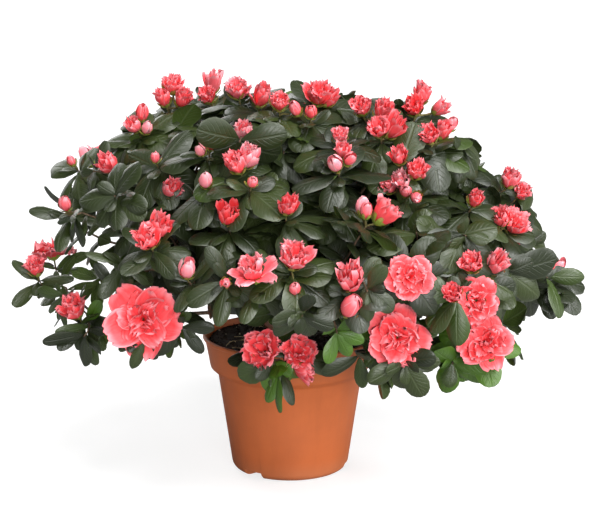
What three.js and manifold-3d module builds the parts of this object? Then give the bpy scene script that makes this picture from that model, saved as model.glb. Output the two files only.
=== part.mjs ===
// A flowering azalea shrub in a round plant pot.
//
// Millimetres, +Z up. The origin is the middle of the pot's flat underside, and -Y is the front.
// The pot holds the soil, a short stem stands on the soil, and its limbs carry the crown: one mass
// of foliage on top, an upper and a lower ring of them round an open middle, and low sprays.

import * as THREE from "three";
import { mergeVertices } from "three/addons/utils/BufferGeometryUtils.js";
import Module from "manifold-3d";

const wasm = await Module();
wasm.setup();

// Pot
const POT_HEIGHT = 118;
const LIP_RADIUS = 75;
const LIP_HEIGHT = 2.6;
const BAND_TOP_RADIUS = 73;
const BAND_FOOT_RADIUS = 69;
const BAND_FOOT_HEIGHT = 92;
const BODY_TOP_RADIUS = 62.2;
const BODY_TOP_HEIGHT = 85.5;
const BASE_RADIUS = 50.6;
const BASE_CORNER = 7.5;
const POT_WALL = 1.9;
const POT_FLOOR = 2.6;
const POT_SEGMENTS = 32;
const CHANNELS = 3;
const CHANNEL_TURN = -10;
const CHANNEL_WIDTH = 19;
const CHANNEL_HEIGHT = 6;
const CHANNEL_START = 33;
const DRAIN_RADIUS = 4.5;
const DRAIN_PITCH = 22;

// Soil
const SOIL_FOOT = CHANNEL_HEIGHT + POT_FLOOR + 0.3;
const SOIL_TOP = 110;
const SOIL_EDGE_DROP = 0.3;
const SOIL_FLAT_RADIUS = 17;
const SOIL_UNEVENNESS = 0.55;

// Stem and limbs
const TOUCH_GAP = 0.35;
const FORK_HEIGHT = 138;
const STEM_RADIUS = 8.2;
const ROOT_FLARE = 5;
const FORK_SWELLING = 2.4;
const STEM_LEAN = new THREE.Vector2(2.2, -1.4);
const STEM_SIDES = 12;
const LIMB_SIDES = 5;
const LIMB_STEPS = 5;
const UPPER_LIMB_RADIUS = 3.2;
const LOWER_LIMB_RADIUS = 2.9;
const SPRAY_LIMB_RADIUS = 2.1;
const LIMB_TAPER = 0.6;
const FORK_CIRCLE = 6.9;
const LOWER_LIMB_HEIGHTS = [119, 127.5];
const SPRAY_LIMB_SHARE = 0.32;
const SPRAY_LIMB_STEP = 0.22;

// Foliage. Half sizes run outwards, sideways and upwards.
const DOME_FOOT = 168;
const DOME_HALF_SIZE = [222, 216, 169];
const DOME_POWER = 2.15;
const TOP_MASS = { reach: 0, height: 281, size: [88, 88, 62] };
const UPPER_RING = { count: 5, turn: -90, reach: 103, height: 257, size: [84, 90, 76] };
const LOWER_RING = { count: 7, turn: -90, reach: 148, height: 210, size: [90, 92, 58] };
const SPRAYS = {
  front: { azimuth: -95, reach: 113, height: 118, size: [24, 36, 36], limb: true },
  front_right: { azimuth: -53, reach: 150, height: 139, size: [40, 40, 42], limb: true },
  right_low: { azimuth: -29, reach: 172, height: 141, size: [40, 42, 44], limb: true },
  right_tip: { azimuth: -2, reach: 218, height: 165, size: [42, 42, 35], limb: false },
  right_back: { azimuth: 25, reach: 190, height: 142, size: [42, 44, 40], limb: false },
  back_right: { azimuth: 56, reach: 177, height: 140, size: [42, 44, 42], limb: true },
  back: { azimuth: 89, reach: 178, height: 137, size: [42, 44, 40], limb: true },
  back_left: { azimuth: 120, reach: 176, height: 140, size: [42, 44, 42], limb: true },
  left_back: { azimuth: 149, reach: 188, height: 138, size: [42, 42, 38], limb: false },
  left_tip: { azimuth: 176, reach: 206, height: 166, size: [33, 42, 28], limb: false },
  left_low: { azimuth: -166, reach: 188, height: 138, size: [34, 42, 29], limb: true },
  front_left: { azimuth: -135, reach: 160, height: 158, size: [42, 44, 38], limb: true },
};
const MASS_DETAIL = 3;
const SPRAY_DETAIL = 2;
const MASS_GAP = 0.5;
const LUMP_WAVES = 5;
const LUMP_DEPTH = 0.045;

const UP = new THREE.Vector3(0, 0, 1);

const materials = {
  pot: new THREE.MeshStandardMaterial({ color: 0xc4663d, roughness: 0.55, metalness: 0 }),
  soil: new THREE.MeshStandardMaterial({ color: 0x1f1810, roughness: 0.95, metalness: 0 }),
  bark: new THREE.MeshStandardMaterial({ color: 0x6a5644, roughness: 0.85, metalness: 0 }),
  leaf: new THREE.MeshStandardMaterial({ color: 0x434833, roughness: 0.45, metalness: 0 }),
};

function radians(degrees) {
  return (degrees * Math.PI) / 180;
}

// Repeatable random numbers from 0 to 1.
function seededRandom(seed) {
  let state = seed;
  return () => {
    state = (state * 1664525 + 1013904223) % 4294967296;
    return state / 4294967296;
  };
}

function outwards(azimuth) {
  return new THREE.Vector3(Math.cos(radians(azimuth)), Math.sin(radians(azimuth)), 0);
}

function place(azimuth, reach, height) {
  return outwards(azimuth).multiplyScalar(reach).setZ(height);
}

function bare(geometry) {
  geometry.deleteAttribute("normal");
  geometry.deleteAttribute("uv");
  return mergeVertices(geometry, 1e-3);
}

function toSolid(geometry) {
  const merged = bare(geometry);
  const mesh = new wasm.Mesh({
    numProp: 3,
    vertProperties: new Float32Array(merged.attributes.position.array),
    triVerts: new Uint32Array(merged.index.array),
  });
  return new wasm.Manifold(mesh);
}

function toGeometry(solid) {
  const mesh = solid.getMesh();
  const geometry = new THREE.BufferGeometry();
  geometry.setAttribute("position", new THREE.BufferAttribute(mesh.vertProperties, 3));
  geometry.setIndex(new THREE.BufferAttribute(mesh.triVerts, 1));
  return geometry;
}

const plant = new THREE.Group();

function addMesh(name, geometry, material) {
  geometry.computeVertexNormals();
  const mesh = new THREE.Mesh(geometry, material);
  mesh.name = name;
  plant.add(mesh);
}

// A solid of revolution about Z from a profile of [radius, height] points.
function lathe(profile) {
  const points = profile.map(([radius, height]) => new THREE.Vector2(radius, height));
  return new THREE.LatheGeometry(points, POT_SEGMENTS).rotateX(Math.PI / 2);
}

// The pot's outer side from the underside up to the lip.
function potOutside() {
  const corner = [];
  for (let step = 0; step <= 3; step += 1) {
    const angle = radians(-90 + step * 27);
    corner.push([
      BASE_RADIUS - BASE_CORNER + BASE_CORNER * Math.cos(angle),
      BASE_CORNER + BASE_CORNER * Math.sin(angle),
    ]);
  }
  return [
    [0, 0],
    ...corner,
    [BODY_TOP_RADIUS, BODY_TOP_HEIGHT],
    [BAND_FOOT_RADIUS - 2.5, BAND_FOOT_HEIGHT - 2.6],
    [BAND_FOOT_RADIUS, BAND_FOOT_HEIGHT],
    [BAND_TOP_RADIUS, POT_HEIGHT - LIP_HEIGHT - 1.4],
    [LIP_RADIUS, POT_HEIGHT - LIP_HEIGHT],
    [LIP_RADIUS, POT_HEIGHT],
  ];
}

// The pot's inner side from the lip down to just above the floor, as far in as its wall is thick.
function potInside(extra) {
  const inset = POT_WALL + extra;
  return [
    [BAND_TOP_RADIUS - inset, POT_HEIGHT - LIP_HEIGHT],
    [BAND_FOOT_RADIUS - inset, BAND_FOOT_HEIGHT],
    [BODY_TOP_RADIUS - inset, BODY_TOP_HEIGHT - 1],
    [BASE_RADIUS - inset, BASE_CORNER + 1.5],
  ];
}

// Places one tool solid at each drainage channel.
function atChannels(makeTool) {
  return Array.from({ length: CHANNELS }, (_, index) => {
    const turn = radians(CHANNEL_TURN + (index * 360) / CHANNELS);
    return toSolid(makeTool().rotateZ(turn));
  });
}

function channelBox(width, height, start, end) {
  return new THREE.BoxGeometry(end - start, width, height + 1).translate(
    (start + end) / 2,
    0,
    (height - 1) / 2,
  );
}

function drainHole() {
  const gapTurn = Math.PI / CHANNELS;
  return new THREE.CylinderGeometry(DRAIN_RADIUS, DRAIN_RADIUS, POT_FLOOR * 4, 16)
    .rotateX(Math.PI / 2)
    .translate(DRAIN_PITCH, 0, 0)
    .rotateZ(gapTurn);
}

function addPot() {
  const outside = potOutside();
  const rimInside = [LIP_RADIUS - POT_WALL - 1.6, POT_HEIGHT];
  const floorEdge = [BASE_RADIUS - BASE_CORNER, POT_FLOOR];
  const shell = toSolid(lathe([...outside, rimInside, ...potInside(0), floorEdge, [0, POT_FLOOR]]));
  const whole = toSolid(lathe([...outside, [0, POT_HEIGHT]]));
  const roofHeight = CHANNEL_HEIGHT + POT_FLOOR;
  let pot = shell;
  for (const roof of atChannels(() =>
    channelBox(CHANNEL_WIDTH + 2 * POT_WALL, roofHeight, CHANNEL_START - POT_WALL, BASE_RADIUS + 5),
  )) {
    pot = pot.add(roof.intersect(whole));
  }
  for (const cut of atChannels(() =>
    channelBox(CHANNEL_WIDTH, CHANNEL_HEIGHT, CHANNEL_START, BASE_RADIUS + 10),
  )) {
    pot = pot.subtract(cut);
  }
  for (const hole of atChannels(drainHole)) {
    pot = pot.subtract(hole);
  }
  addMesh("pot", toGeometry(pot), materials.pot);
}

// Soil fills the pot to a little under its lip. It is flat round the stem and uneven elsewhere.
function addSoil() {
  const side = potInside(TOUCH_GAP).reverse();
  const [topRadius] = potInside(TOUCH_GAP)[0];
  const edgeHeight = SOIL_TOP - SOIL_EDGE_DROP;
  const slope = (BAND_TOP_RADIUS - BAND_FOOT_RADIUS) / (POT_HEIGHT - LIP_HEIGHT - BAND_FOOT_HEIGHT);
  const edgeRadius = topRadius - slope * (POT_HEIGHT - LIP_HEIGHT - edgeHeight) - TOUCH_GAP;
  const profile = [
    [0, SOIL_FOOT],
    [side[0][0] - 0.5, SOIL_FOOT],
    ...side.slice(1, 3),
    [edgeRadius, edgeHeight],
    [(edgeRadius + SOIL_FLAT_RADIUS) / 2, SOIL_TOP - SOIL_EDGE_DROP / 2],
    [SOIL_FLAT_RADIUS, SOIL_TOP],
    [0, SOIL_TOP],
  ];
  const geometry = bare(lathe(profile));
  const position = geometry.attributes.position;
  for (let index = 0; index < position.count; index += 1) {
    const x = position.getX(index);
    const y = position.getY(index);
    const z = position.getZ(index);
    const radius = Math.hypot(x, y);
    if (z > edgeHeight - 0.1 && radius > SOIL_FLAT_RADIUS + 1) {
      const wave = Math.sin(x * 0.11 + 1) + Math.cos(y * 0.13 - x * 0.05);
      position.setZ(index, z + SOIL_UNEVENNESS * wave);
    }
  }
  addMesh("soil", geometry, materials.soil);
}

// A limb along a curve: a cylinder bent onto it, as thick as radiusAt says at each share of its length.
function limbGeometry(curve, azimuth, radiusAt, sides, steps) {
  const geometry = new THREE.CylinderGeometry(1, 1, 1, sides, steps);
  const position = geometry.attributes.position;
  const sideways = outwards(azimuth + 90);
  for (let index = 0; index < position.count; index += 1) {
    const share = Math.min(Math.max(position.getY(index) + 0.5, 0), 1);
    const tangent = curve.getTangentAt(share);
    const across = new THREE.Vector3().crossVectors(tangent, sideways).normalize();
    const side = new THREE.Vector3().crossVectors(across, tangent);
    const point = curve
      .getPointAt(share)
      .addScaledVector(across, position.getX(index) * radiusAt(share))
      .addScaledVector(side, position.getZ(index) * radiusAt(share));
    position.setXYZ(index, point.x, point.y, point.z);
  }
  return geometry;
}

// The stem: it flares at its foot, leans a little and swells again at the fork.
function stemGeometry(extra) {
  const foot = SOIL_TOP + TOUCH_GAP - extra;
  const rise = FORK_HEIGHT + extra - foot;
  const curve = new THREE.CatmullRomCurve3([
    new THREE.Vector3(0, 0, foot),
    new THREE.Vector3(0, 0, foot + rise * 0.3),
    new THREE.Vector3(STEM_LEAN.x * 0.5, STEM_LEAN.y * 0.5, foot + rise * 0.65),
    new THREE.Vector3(STEM_LEAN.x, STEM_LEAN.y, foot + rise),
  ]);
  const radiusAt = (share) =>
    STEM_RADIUS +
    extra +
    ROOT_FLARE * Math.exp(-share * 6) +
    FORK_SWELLING * Math.sin(Math.min(share * 1.1, 1) * Math.PI * 0.5) ** 4;
  return limbGeometry(curve, 0, radiusAt, STEM_SIDES, 6);
}

// One mass of foliage: its middle, its half sizes and its own lumps.
function makeMass(name, azimuth, { reach, height, size, limb }, detail, random) {
  const centre = place(azimuth, reach, height);
  const waves = Array.from({ length: LUMP_WAVES }, () => ({
    direction: new THREE.Vector3(random() - 0.5, random() - 0.5, random() - 0.5).normalize(),
    frequency: 2.5 + 2.5 * random(),
    phase: 2 * Math.PI * random(),
  }));
  return { name, azimuth, centre, size, limb, detail, waves, planes: [] };
}

function listMasses() {
  const random = seededRandom(41);
  const masses = [makeMass("foliage_top", 0, TOP_MASS, MASS_DETAIL, random)];
  for (const [level, ring] of Object.entries({ upper: UPPER_RING, lower: LOWER_RING })) {
    for (let index = 0; index < ring.count; index += 1) {
      const azimuth = ring.turn + (index * 360) / ring.count;
      masses.push(makeMass(`foliage_${level}_${index + 1}`, azimuth, ring, MASS_DETAIL, random));
    }
  }
  for (const [name, spray] of Object.entries(SPRAYS)) {
    masses.push(makeMass(`spray_${name}`, spray.azimuth, spray, SPRAY_DETAIL, random));
  }
  return masses;
}

// How far a mass reaches from its middle in one direction, before its lumps and neighbours.
function smoothReach(mass, direction) {
  const outward = outwards(mass.azimuth);
  const sideward = outwards(mass.azimuth + 90);
  return 1 / Math.hypot(
    direction.dot(outward) / mass.size[0],
    direction.dot(sideward) / mass.size[1],
    direction.z / mass.size[2],
  );
}

// Neighbouring masses share the space between them at a flat face, with a gap.
function fitNeighbours(masses) {
  for (const mass of masses) {
    for (const other of masses) {
      if (other === mass) {
        continue;
      }
      const direction = new THREE.Vector3().subVectors(other.centre, mass.centre);
      const distance = direction.length();
      direction.normalize();
      const own = smoothReach(mass, direction);
      const others = smoothReach(other, direction);
      mass.planes.push({ direction, reach: (distance * own) / (own + others) - MASS_GAP / 2 });
    }
  }
}

// How far it is from a mass's middle to the dome that the whole crown fills, found by halving.
function domeReach(mass, direction) {
  let inside = 0;
  let outside = DOME_HALF_SIZE[0] * 2;
  for (let step = 0; step < 20; step += 1) {
    const middle = (inside + outside) / 2;
    const point = mass.centre.clone().addScaledVector(direction, middle);
    const height = Math.max(point.z - DOME_FOOT, 0);
    const share =
      Math.hypot(point.x / DOME_HALF_SIZE[0], point.y / DOME_HALF_SIZE[1]) ** DOME_POWER +
      (height / DOME_HALF_SIZE[2]) ** DOME_POWER;
    if (share < 1) {
      inside = middle;
    } else {
      outside = middle;
    }
  }
  return inside;
}

function massReach(mass, direction) {
  let lumps = 1;
  for (const wave of mass.waves) {
    lumps += LUMP_DEPTH * Math.sin(wave.frequency * direction.dot(wave.direction) + wave.phase);
  }
  let reach = smoothReach(mass, direction) * lumps;
  if (mass.name.startsWith("foliage")) {
    reach = Math.min(reach, domeReach(mass, direction) * Math.min(lumps, 1));
  }
  for (const plane of mass.planes) {
    const towards = direction.dot(plane.direction);
    if (towards > 0) {
      reach = Math.min(reach, plane.reach / towards);
    }
  }
  return reach;
}

function massGeometry(mass, extra) {
  const geometry = bare(new THREE.IcosahedronGeometry(1, mass.detail));
  const position = geometry.attributes.position;
  for (let index = 0; index < position.count; index += 1) {
    const direction = new THREE.Vector3().fromBufferAttribute(position, index).normalize();
    const point = direction
      .clone()
      .multiplyScalar(massReach(mass, direction) + extra)
      .add(mass.centre);
    position.setXYZ(index, point.x, point.y, point.z);
  }
  return geometry;
}

// A limb from its start towards a mass: it rises or sinks to the mass along one bent curve.
function limbCurve(start, mass, bend) {
  const sideward = outwards(mass.azimuth + 90);
  const span = new THREE.Vector3().subVectors(mass.centre, start);
  const along = (share, lift, sway) =>
    start
      .clone()
      .addScaledVector(span, share)
      .addScaledVector(UP, lift)
      .addScaledVector(sideward, sway);
  return new THREE.CatmullRomCurve3([
    start,
    along(0.3, bend.lift * 0.75, bend.sway * 0.7),
    along(0.65, bend.lift, -bend.sway),
    mass.centre.clone(),
  ]);
}

// Cuts a limb at what it grows from and at the masses, and keeps the piece at its start.
function cutLimb(limb, start, cutters) {
  let solid = limb;
  for (const cutter of cutters) {
    solid = solid.subtract(cutter);
  }
  const nearStart = (piece) => {
    const box = piece.boundingBox();
    const middle = new THREE.Vector3(...box.min).add(new THREE.Vector3(...box.max)).divideScalar(2);
    return middle.distanceTo(start);
  };
  return solid.decompose().sort((one, two) => nearStart(one) - nearStart(two))[0];
}

function limbRadius(radius) {
  return (share) => radius * (1 - (1 - LIMB_TAPER) * share + 0.25 * Math.exp(-share * 14));
}

const masses = listMasses();
fitNeighbours(masses);

function addFoliage() {
  for (const mass of masses) {
    addMesh(mass.name, massGeometry(mass, 0), materials.leaf);
  }
}

function addStemAndLimbs() {
  addMesh("stem", bare(stemGeometry(0)), materials.bark);
  const stemCutter = toSolid(stemGeometry(TOUCH_GAP));
  const massCutters = masses.map((mass) => toSolid(massGeometry(mass, TOUCH_GAP)));
  const lowerLimbs = [];

  const addLimb = (mass, start, radius, bend, parentCutter) => {
    const curve = limbCurve(start, mass, bend);
    const shape = (extra) => {
      const radiusAt = limbRadius(radius);
      const around = (share) => radiusAt(share) + extra;
      return toSolid(limbGeometry(curve, mass.azimuth, around, LIMB_SIDES, LIMB_STEPS));
    };
    const limb = cutLimb(shape(0), start, [parentCutter, ...massCutters]);
    const name = mass.name.replace("foliage", "bough").replace("spray", "bough_spray");
    addMesh(name, toGeometry(limb), materials.bark);
    return { mass, curve, cutter: shape(TOUCH_GAP), offshoots: 0 };
  };

  const fork = new THREE.Vector3(STEM_LEAN.x, STEM_LEAN.y, FORK_HEIGHT - 1.5);
  for (const [index, mass] of masses.entries()) {
    const side = index % 2 === 0 ? 1 : -1;
    if (mass.name === "foliage_top") {
      addLimb(mass, fork, UPPER_LIMB_RADIUS * 0.9, { lift: 0, sway: 6 }, stemCutter);
    } else if (mass.name.startsWith("foliage_upper")) {
      const start = fork.clone().addScaledVector(outwards(mass.azimuth), FORK_CIRCLE);
      addLimb(mass, start, UPPER_LIMB_RADIUS, { lift: 4, sway: 5 * side }, stemCutter);
    } else if (mass.name.startsWith("foliage_lower")) {
      const start = place(mass.azimuth, STEM_RADIUS * 0.6, LOWER_LIMB_HEIGHTS[index % 2]);
      lowerLimbs.push(addLimb(mass, start, LOWER_LIMB_RADIUS, { lift: -4, sway: 5 * side }, stemCutter));
    }
  }
  for (const mass of masses.filter((each) => each.limb)) {
    const turn = (limb) => outwards(limb.mass.azimuth).dot(outwards(mass.azimuth));
    const parent = lowerLimbs.reduce((one, two) => (turn(two) > turn(one) ? two : one));
    const start = parent.curve.getPointAt(SPRAY_LIMB_SHARE + SPRAY_LIMB_STEP * parent.offshoots);
    parent.offshoots += 1;
    addLimb(mass, start, SPRAY_LIMB_RADIUS, { lift: 2, sway: 0 }, parent.cutter);
  }
}

addPot();
addSoil();
addStemAndLimbs();
addFoliage();

export default plant;
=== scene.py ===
"""The looks of a flowering azalea shrub in its pot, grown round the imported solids.

Metres, +Z up, -Y the front. The stem and limbs get bark, twigs branch on from the limbs' ends into
each mass of foliage, and every twig ends in a whorl of leaves, many with buds or blooms.
"""

import math

import bpy
import numpy as np
from bpy.props import FloatProperty, FloatVectorProperty, IntProperty, PointerProperty
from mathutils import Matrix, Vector
from mathutils.bvhtree import BVHTree


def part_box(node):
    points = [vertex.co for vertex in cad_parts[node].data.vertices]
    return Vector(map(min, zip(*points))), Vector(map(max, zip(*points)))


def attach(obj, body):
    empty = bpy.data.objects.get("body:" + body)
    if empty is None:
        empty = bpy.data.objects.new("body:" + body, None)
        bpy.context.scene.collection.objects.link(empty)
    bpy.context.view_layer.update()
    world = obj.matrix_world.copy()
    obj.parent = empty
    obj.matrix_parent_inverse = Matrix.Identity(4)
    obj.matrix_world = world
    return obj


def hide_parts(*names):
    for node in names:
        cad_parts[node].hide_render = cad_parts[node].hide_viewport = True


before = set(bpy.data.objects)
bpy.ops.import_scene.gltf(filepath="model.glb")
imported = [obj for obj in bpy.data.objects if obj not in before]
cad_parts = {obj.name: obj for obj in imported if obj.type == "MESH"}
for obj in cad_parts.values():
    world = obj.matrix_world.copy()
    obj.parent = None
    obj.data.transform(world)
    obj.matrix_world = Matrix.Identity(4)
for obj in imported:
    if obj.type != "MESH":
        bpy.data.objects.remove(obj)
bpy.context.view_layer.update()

bl_info = {
    "name": "Potted azalea",
    "version": (1, 0, 0),
    "blender": (4, 5, 0),
    "location": "3D View > Sidebar > Azalea",
    "description": "Grows a flowering azalea shrub in a plant pot round its plain solids",
    "category": "Object",
}

MM = 0.001
# About a full turn in radians, for random turns and phases.
FULL_TURN = 6.28
UP = np.array([0.0, 0.0, 1.0])
NODES = sorted(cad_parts)
MASS_NODES = [name for name in NODES if name.startswith(("foliage_", "spray_"))]
LIMB_NODES = [name for name in NODES if name.startswith("bough_")]
POT_LOW, POT_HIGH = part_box("pot")
SOIL_LOW, SOIL_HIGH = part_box("soil")
STEM_LOW, STEM_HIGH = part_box("stem")


# ---------------------------------------------------------------- settings

def size_property(name, description, default_mm, **limits):
    return FloatProperty(
        name=name, description=description, default=default_mm * MM, unit="LENGTH", **limits
    )


def colour_property(name, description, red, green, blue):
    """A colour told in the 0 to 255 steps of a colour picker."""
    linear = [channel_to_linear(channel / 255) for channel in (red, green, blue)]
    return FloatVectorProperty(
        name=name, description=description, default=(*linear, 1.0), size=4, subtype="COLOR"
    )


def channel_to_linear(channel):
    if channel <= 0.04045:
        return channel / 12.92
    return ((channel + 0.055) / 1.055) ** 2.4


class PotSettings(bpy.types.PropertyGroup):
    clay: colour_property("Clay", "Colour of the pot's plastic", 190, 98, 50)
    wall: size_property("Wall", "Thickness of the pot's wall", 1.9)
    soil: colour_property("Soil", "Colour of the soil", 38, 25, 14)
    crumb: size_property("Crumb", "Radius of a middling crumb of soil", 1.1)
    crumbs: IntProperty(name="Crumbs", description="Crumbs on the soil", default=900)


class BranchSettings(bpy.types.PropertyGroup):
    seed: IntProperty(name="Seed", description="Seed of the branching", default=7)
    bark: colour_property("Bark", "Colour of the bark", 96, 78, 62)
    green_wood: colour_property("Green wood", "Colour of the youngest twigs", 104, 96, 58)
    outer_gap: size_property("Outer gap", "Least distance between outer shoots", 36)
    spray_gap: size_property("Spray gap", "Least distance between a low spray's shoots", 38)
    inner_gap: size_property("Inner gap", "Least distance between inner shoots", 37)
    fork_radius: size_property("Fork radius", "Radius of a twig where a limb forks", 1.5)
    tip_radius: size_property("Tip radius", "Radius of a twig at its tip", 0.65)


class LeafSettings(bpy.types.PropertyGroup):
    length: size_property("Length", "Length of a middling leaf", 35.5)
    slimness: FloatProperty(name="Width share", description="Width over length", default=0.64)
    thickness: size_property("Thickness", "Thickness of a leaf", 0.35)


class BlossomSettings(bpy.types.PropertyGroup):
    seed: IntProperty(name="Seed", description="Seed of the blossom", default=23)
    thickness: size_property("Thickness", "Thickness of a petal", 0.3)
    chance: FloatProperty(
        name="Chance", description="Share of the far side's shoots that flower", default=0.55
    )


class StageSettings(bpy.types.PropertyGroup):
    distance: FloatProperty(
        name="Distance", description="From camera to plant", default=1.6, unit="LENGTH"
    )
    elevation: FloatProperty(
        name="Elevation",
        description="Height of the camera above the level",
        default=math.radians(12.3),
        subtype="ANGLE",
    )
    aim: FloatVectorProperty(
        name="Aim",
        description="Point that the camera looks at",
        default=(0.0086, 0.0, 0.1795),
        size=3,
        subtype="TRANSLATION",
    )
    lens: FloatProperty(
        name="Lens", description="Focal length", default=112.4, unit="CAMERA"
    )
    fill: FloatProperty(name="Fill", description="Strength of the room's light", default=0.18)


# ---------------------------------------------------------------- building node trees

class Socket:
    """An output of a node. Sums and products of it add maths nodes to its tree."""

    def __init__(self, maker, socket):
        self.maker = maker
        self.socket = socket

    def __add__(self, other):
        return self.maker.maths("ADD", self, other)

    def __radd__(self, other):
        return self.maker.maths("ADD", other, self)

    def __sub__(self, other):
        return self.maker.maths("SUBTRACT", self, other)

    def __rsub__(self, other):
        return self.maker.maths("SUBTRACT", other, self)

    def __mul__(self, other):
        return self.maker.maths("MULTIPLY", self, other)

    def __truediv__(self, other):
        return self.maker.maths("DIVIDE", self, other)

    def __pow__(self, other):
        return self.maker.maths("POWER", self, other)


class TreeMaker:
    """Adds nodes to a node tree, and links or sets their inputs."""

    def __init__(self, tree):
        self.tree = tree

    @staticmethod
    def pick(sockets, key):
        if isinstance(key, int):
            return [each for each in sockets if each.enabled][key]
        return next(each for each in sockets if each.enabled and each.name == key)

    def fill(self, node, inputs, output=0):
        """Links or sets a node's inputs, and gives one of its outputs."""
        for key, value in inputs.items():
            socket = self.pick(node.inputs, key)
            if isinstance(value, Socket):
                self.tree.links.new(value.socket, socket)
            else:
                socket.default_value = value
        return Socket(self, self.pick(node.outputs, output))

    def node(self, kind, inputs=None, output=0, **settings):
        node = self.tree.nodes.new(kind)
        for key, value in settings.items():
            setattr(node, key, value)
        return self.fill(node, inputs or {}, output)

    def maths(self, operation, *values):
        vector = any(
            isinstance(each, Socket) and each.socket.type in {"VECTOR", "RGBA"} for each in values
        )
        if vector:
            plain = [each if isinstance(each, Socket) else self.three(each) for each in values]
            return self.node("ShaderNodeVectorMath", dict(enumerate(plain)), operation=operation)
        return self.node("ShaderNodeMath", dict(enumerate(values)), operation=operation)

    @staticmethod
    def three(value):
        return (value, value, value) if isinstance(value, (int, float)) else tuple(value)

    def combine(self, x, y, z):
        return self.node("ShaderNodeCombineXYZ", {0: x, 1: y, 2: z})

    def separate(self, vector):
        first = self.node("ShaderNodeSeparateXYZ", {0: vector})
        outputs = first.socket.node.outputs
        return [Socket(self, output) for output in outputs]

    def smooth_step(self, value, start, end, low=0.0, high=1.0):
        inputs = {0: value, 1: start, 2: end, 3: low, 4: high}
        return self.node("ShaderNodeMapRange", inputs, interpolation_type="SMOOTHSTEP")

    def noise(self, vector, scale, detail=2.0, roughness=0.5, seed=None):
        node = self.tree.nodes.new("ShaderNodeTexNoise")
        inputs = {"Vector": vector, "Scale": scale, "Detail": detail, "Roughness": roughness}
        if seed is not None:
            node.noise_dimensions = "4D"
            inputs["W"] = seed
        return self.fill(node, inputs, "Fac")

    def mix_colour(self, factor, first, second, blend="MIX"):
        inputs = {0: factor, 1: first, 2: second}
        return self.node("ShaderNodeMix", inputs, data_type="RGBA", blend_type=blend)

    def ramp(self, factor, stops):
        node = self.tree.nodes.new("ShaderNodeValToRGB")
        elements = node.color_ramp.elements
        while len(elements) < len(stops):
            elements.new(0.5)
        for element, (position, colour) in zip(elements, stops):
            element.position = position
            element.color = colour
        self.tree.links.new(factor.socket, node.inputs[0])
        return Socket(self, node.outputs[0])


class GeometryMaker(TreeMaker):
    """A geometry node tree with named number inputs, used once by a modifier."""

    def __init__(self, name, sizes):
        super().__init__(bpy.data.node_groups.new(name, "GeometryNodeTree"))
        self.sizes = sizes
        self.keys = {}
        sockets = self.tree.interface
        sockets.new_socket("Geometry", in_out="INPUT", socket_type="NodeSocketGeometry")
        for label, value in sizes.items():
            kind = "NodeSocketInt" if isinstance(value, int) else "NodeSocketFloat"
            socket = sockets.new_socket(label, in_out="INPUT", socket_type=kind)
            self.keys[label] = socket.identifier
        sockets.new_socket("Geometry", in_out="OUTPUT", socket_type="NodeSocketGeometry")
        self.entry = self.tree.nodes.new("NodeGroupInput")
        self.geometry = Socket(self, self.entry.outputs[0])

    def size(self, label):
        return Socket(self, next(each for each in self.entry.outputs if each.name == label))

    def number(self, name):
        return self.node("GeometryNodeInputNamedAttribute", {"Name": name}, data_type="FLOAT")

    def vector(self, name):
        return self.node("GeometryNodeInputNamedAttribute", {"Name": name}, data_type="FLOAT_VECTOR")

    def position(self):
        return self.node("GeometryNodeInputPosition")

    def store(self, geometry, name, value, data_type, domain="POINT"):
        return self.node(
            "GeometryNodeStoreNamedAttribute",
            {"Geometry": geometry, "Name": name, "Value": value},
            data_type=data_type,
            domain=domain,
        )

    def equals(self, value, wanted):
        return self.node(
            "FunctionNodeCompare",
            {"A": value, "B": wanted, "Epsilon": 0.25},
            data_type="FLOAT",
            operation="EQUAL",
        )

    def both(self, first, second):
        return self.node("FunctionNodeBooleanMath", {0: first, 1: second}, operation="AND")

    def random(self, low, high, seed):
        """A random number or vector for each thing, between two numbers or two vectors."""
        data_type = "FLOAT" if isinstance(low, float) else "FLOAT_VECTOR"
        inputs = {"Min": low, "Max": high, "Seed": seed}
        return self.node("FunctionNodeRandomValue", inputs, data_type=data_type)

    def material(self, geometry, material, selection=None):
        inputs = {"Geometry": geometry, "Material": material}
        if selection is not None:
            inputs["Selection"] = selection
        return self.node("GeometryNodeSetMaterial", inputs)

    def finish(self, geometry):
        smooth = self.node("GeometryNodeSetShadeSmooth", {"Geometry": geometry})
        exit_node = self.tree.nodes.new("NodeGroupOutput")
        self.tree.links.new(smooth.socket, exit_node.inputs[0])

    def apply_to(self, source, name, kept=()):
        """Runs the tree on an object, and keeps the result as a plain mesh object."""
        modifier = source.modifiers.new("build", "NODES")
        modifier.node_group = self.tree
        for label, value in self.sizes.items():
            modifier[self.keys[label]] = value
        evaluated = source.evaluated_get(bpy.context.evaluated_depsgraph_get())
        mesh = bpy.data.meshes.new_from_object(evaluated)
        source.modifiers.remove(modifier)
        bpy.data.objects.remove(source)
        for attribute in [each.name for each in mesh.attributes]:
            inner = attribute.startswith(".") or attribute in {"position", "sharp_face", "sharp_edge"}
            if not inner and attribute not in ("material_index", *kept):
                mesh.attributes.remove(mesh.attributes[attribute])
        mesh.name = name
        return add_object(name, mesh)


def add_object(name, mesh):
    thing = bpy.data.objects.new(name, mesh)
    bpy.context.scene.collection.objects.link(thing)
    return thing


def add_points(name, points, edges=(), **attributes):
    """A mesh of bare points, or of lines, with an attribute for each list of numbers or vectors."""
    mesh = bpy.data.meshes.new(name)
    mesh.from_pydata([tuple(point) for point in points], list(edges), [])
    for key, values in attributes.items():
        values = np.asarray(values, np.float32)
        if values.ndim == 2:
            mesh.attributes.new(key, "FLOAT_VECTOR", "POINT").data.foreach_set("vector", values.ravel())
        else:
            mesh.attributes.new(key, "FLOAT", "POINT").data.foreach_set("value", values)
    return add_object(name, mesh)


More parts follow.
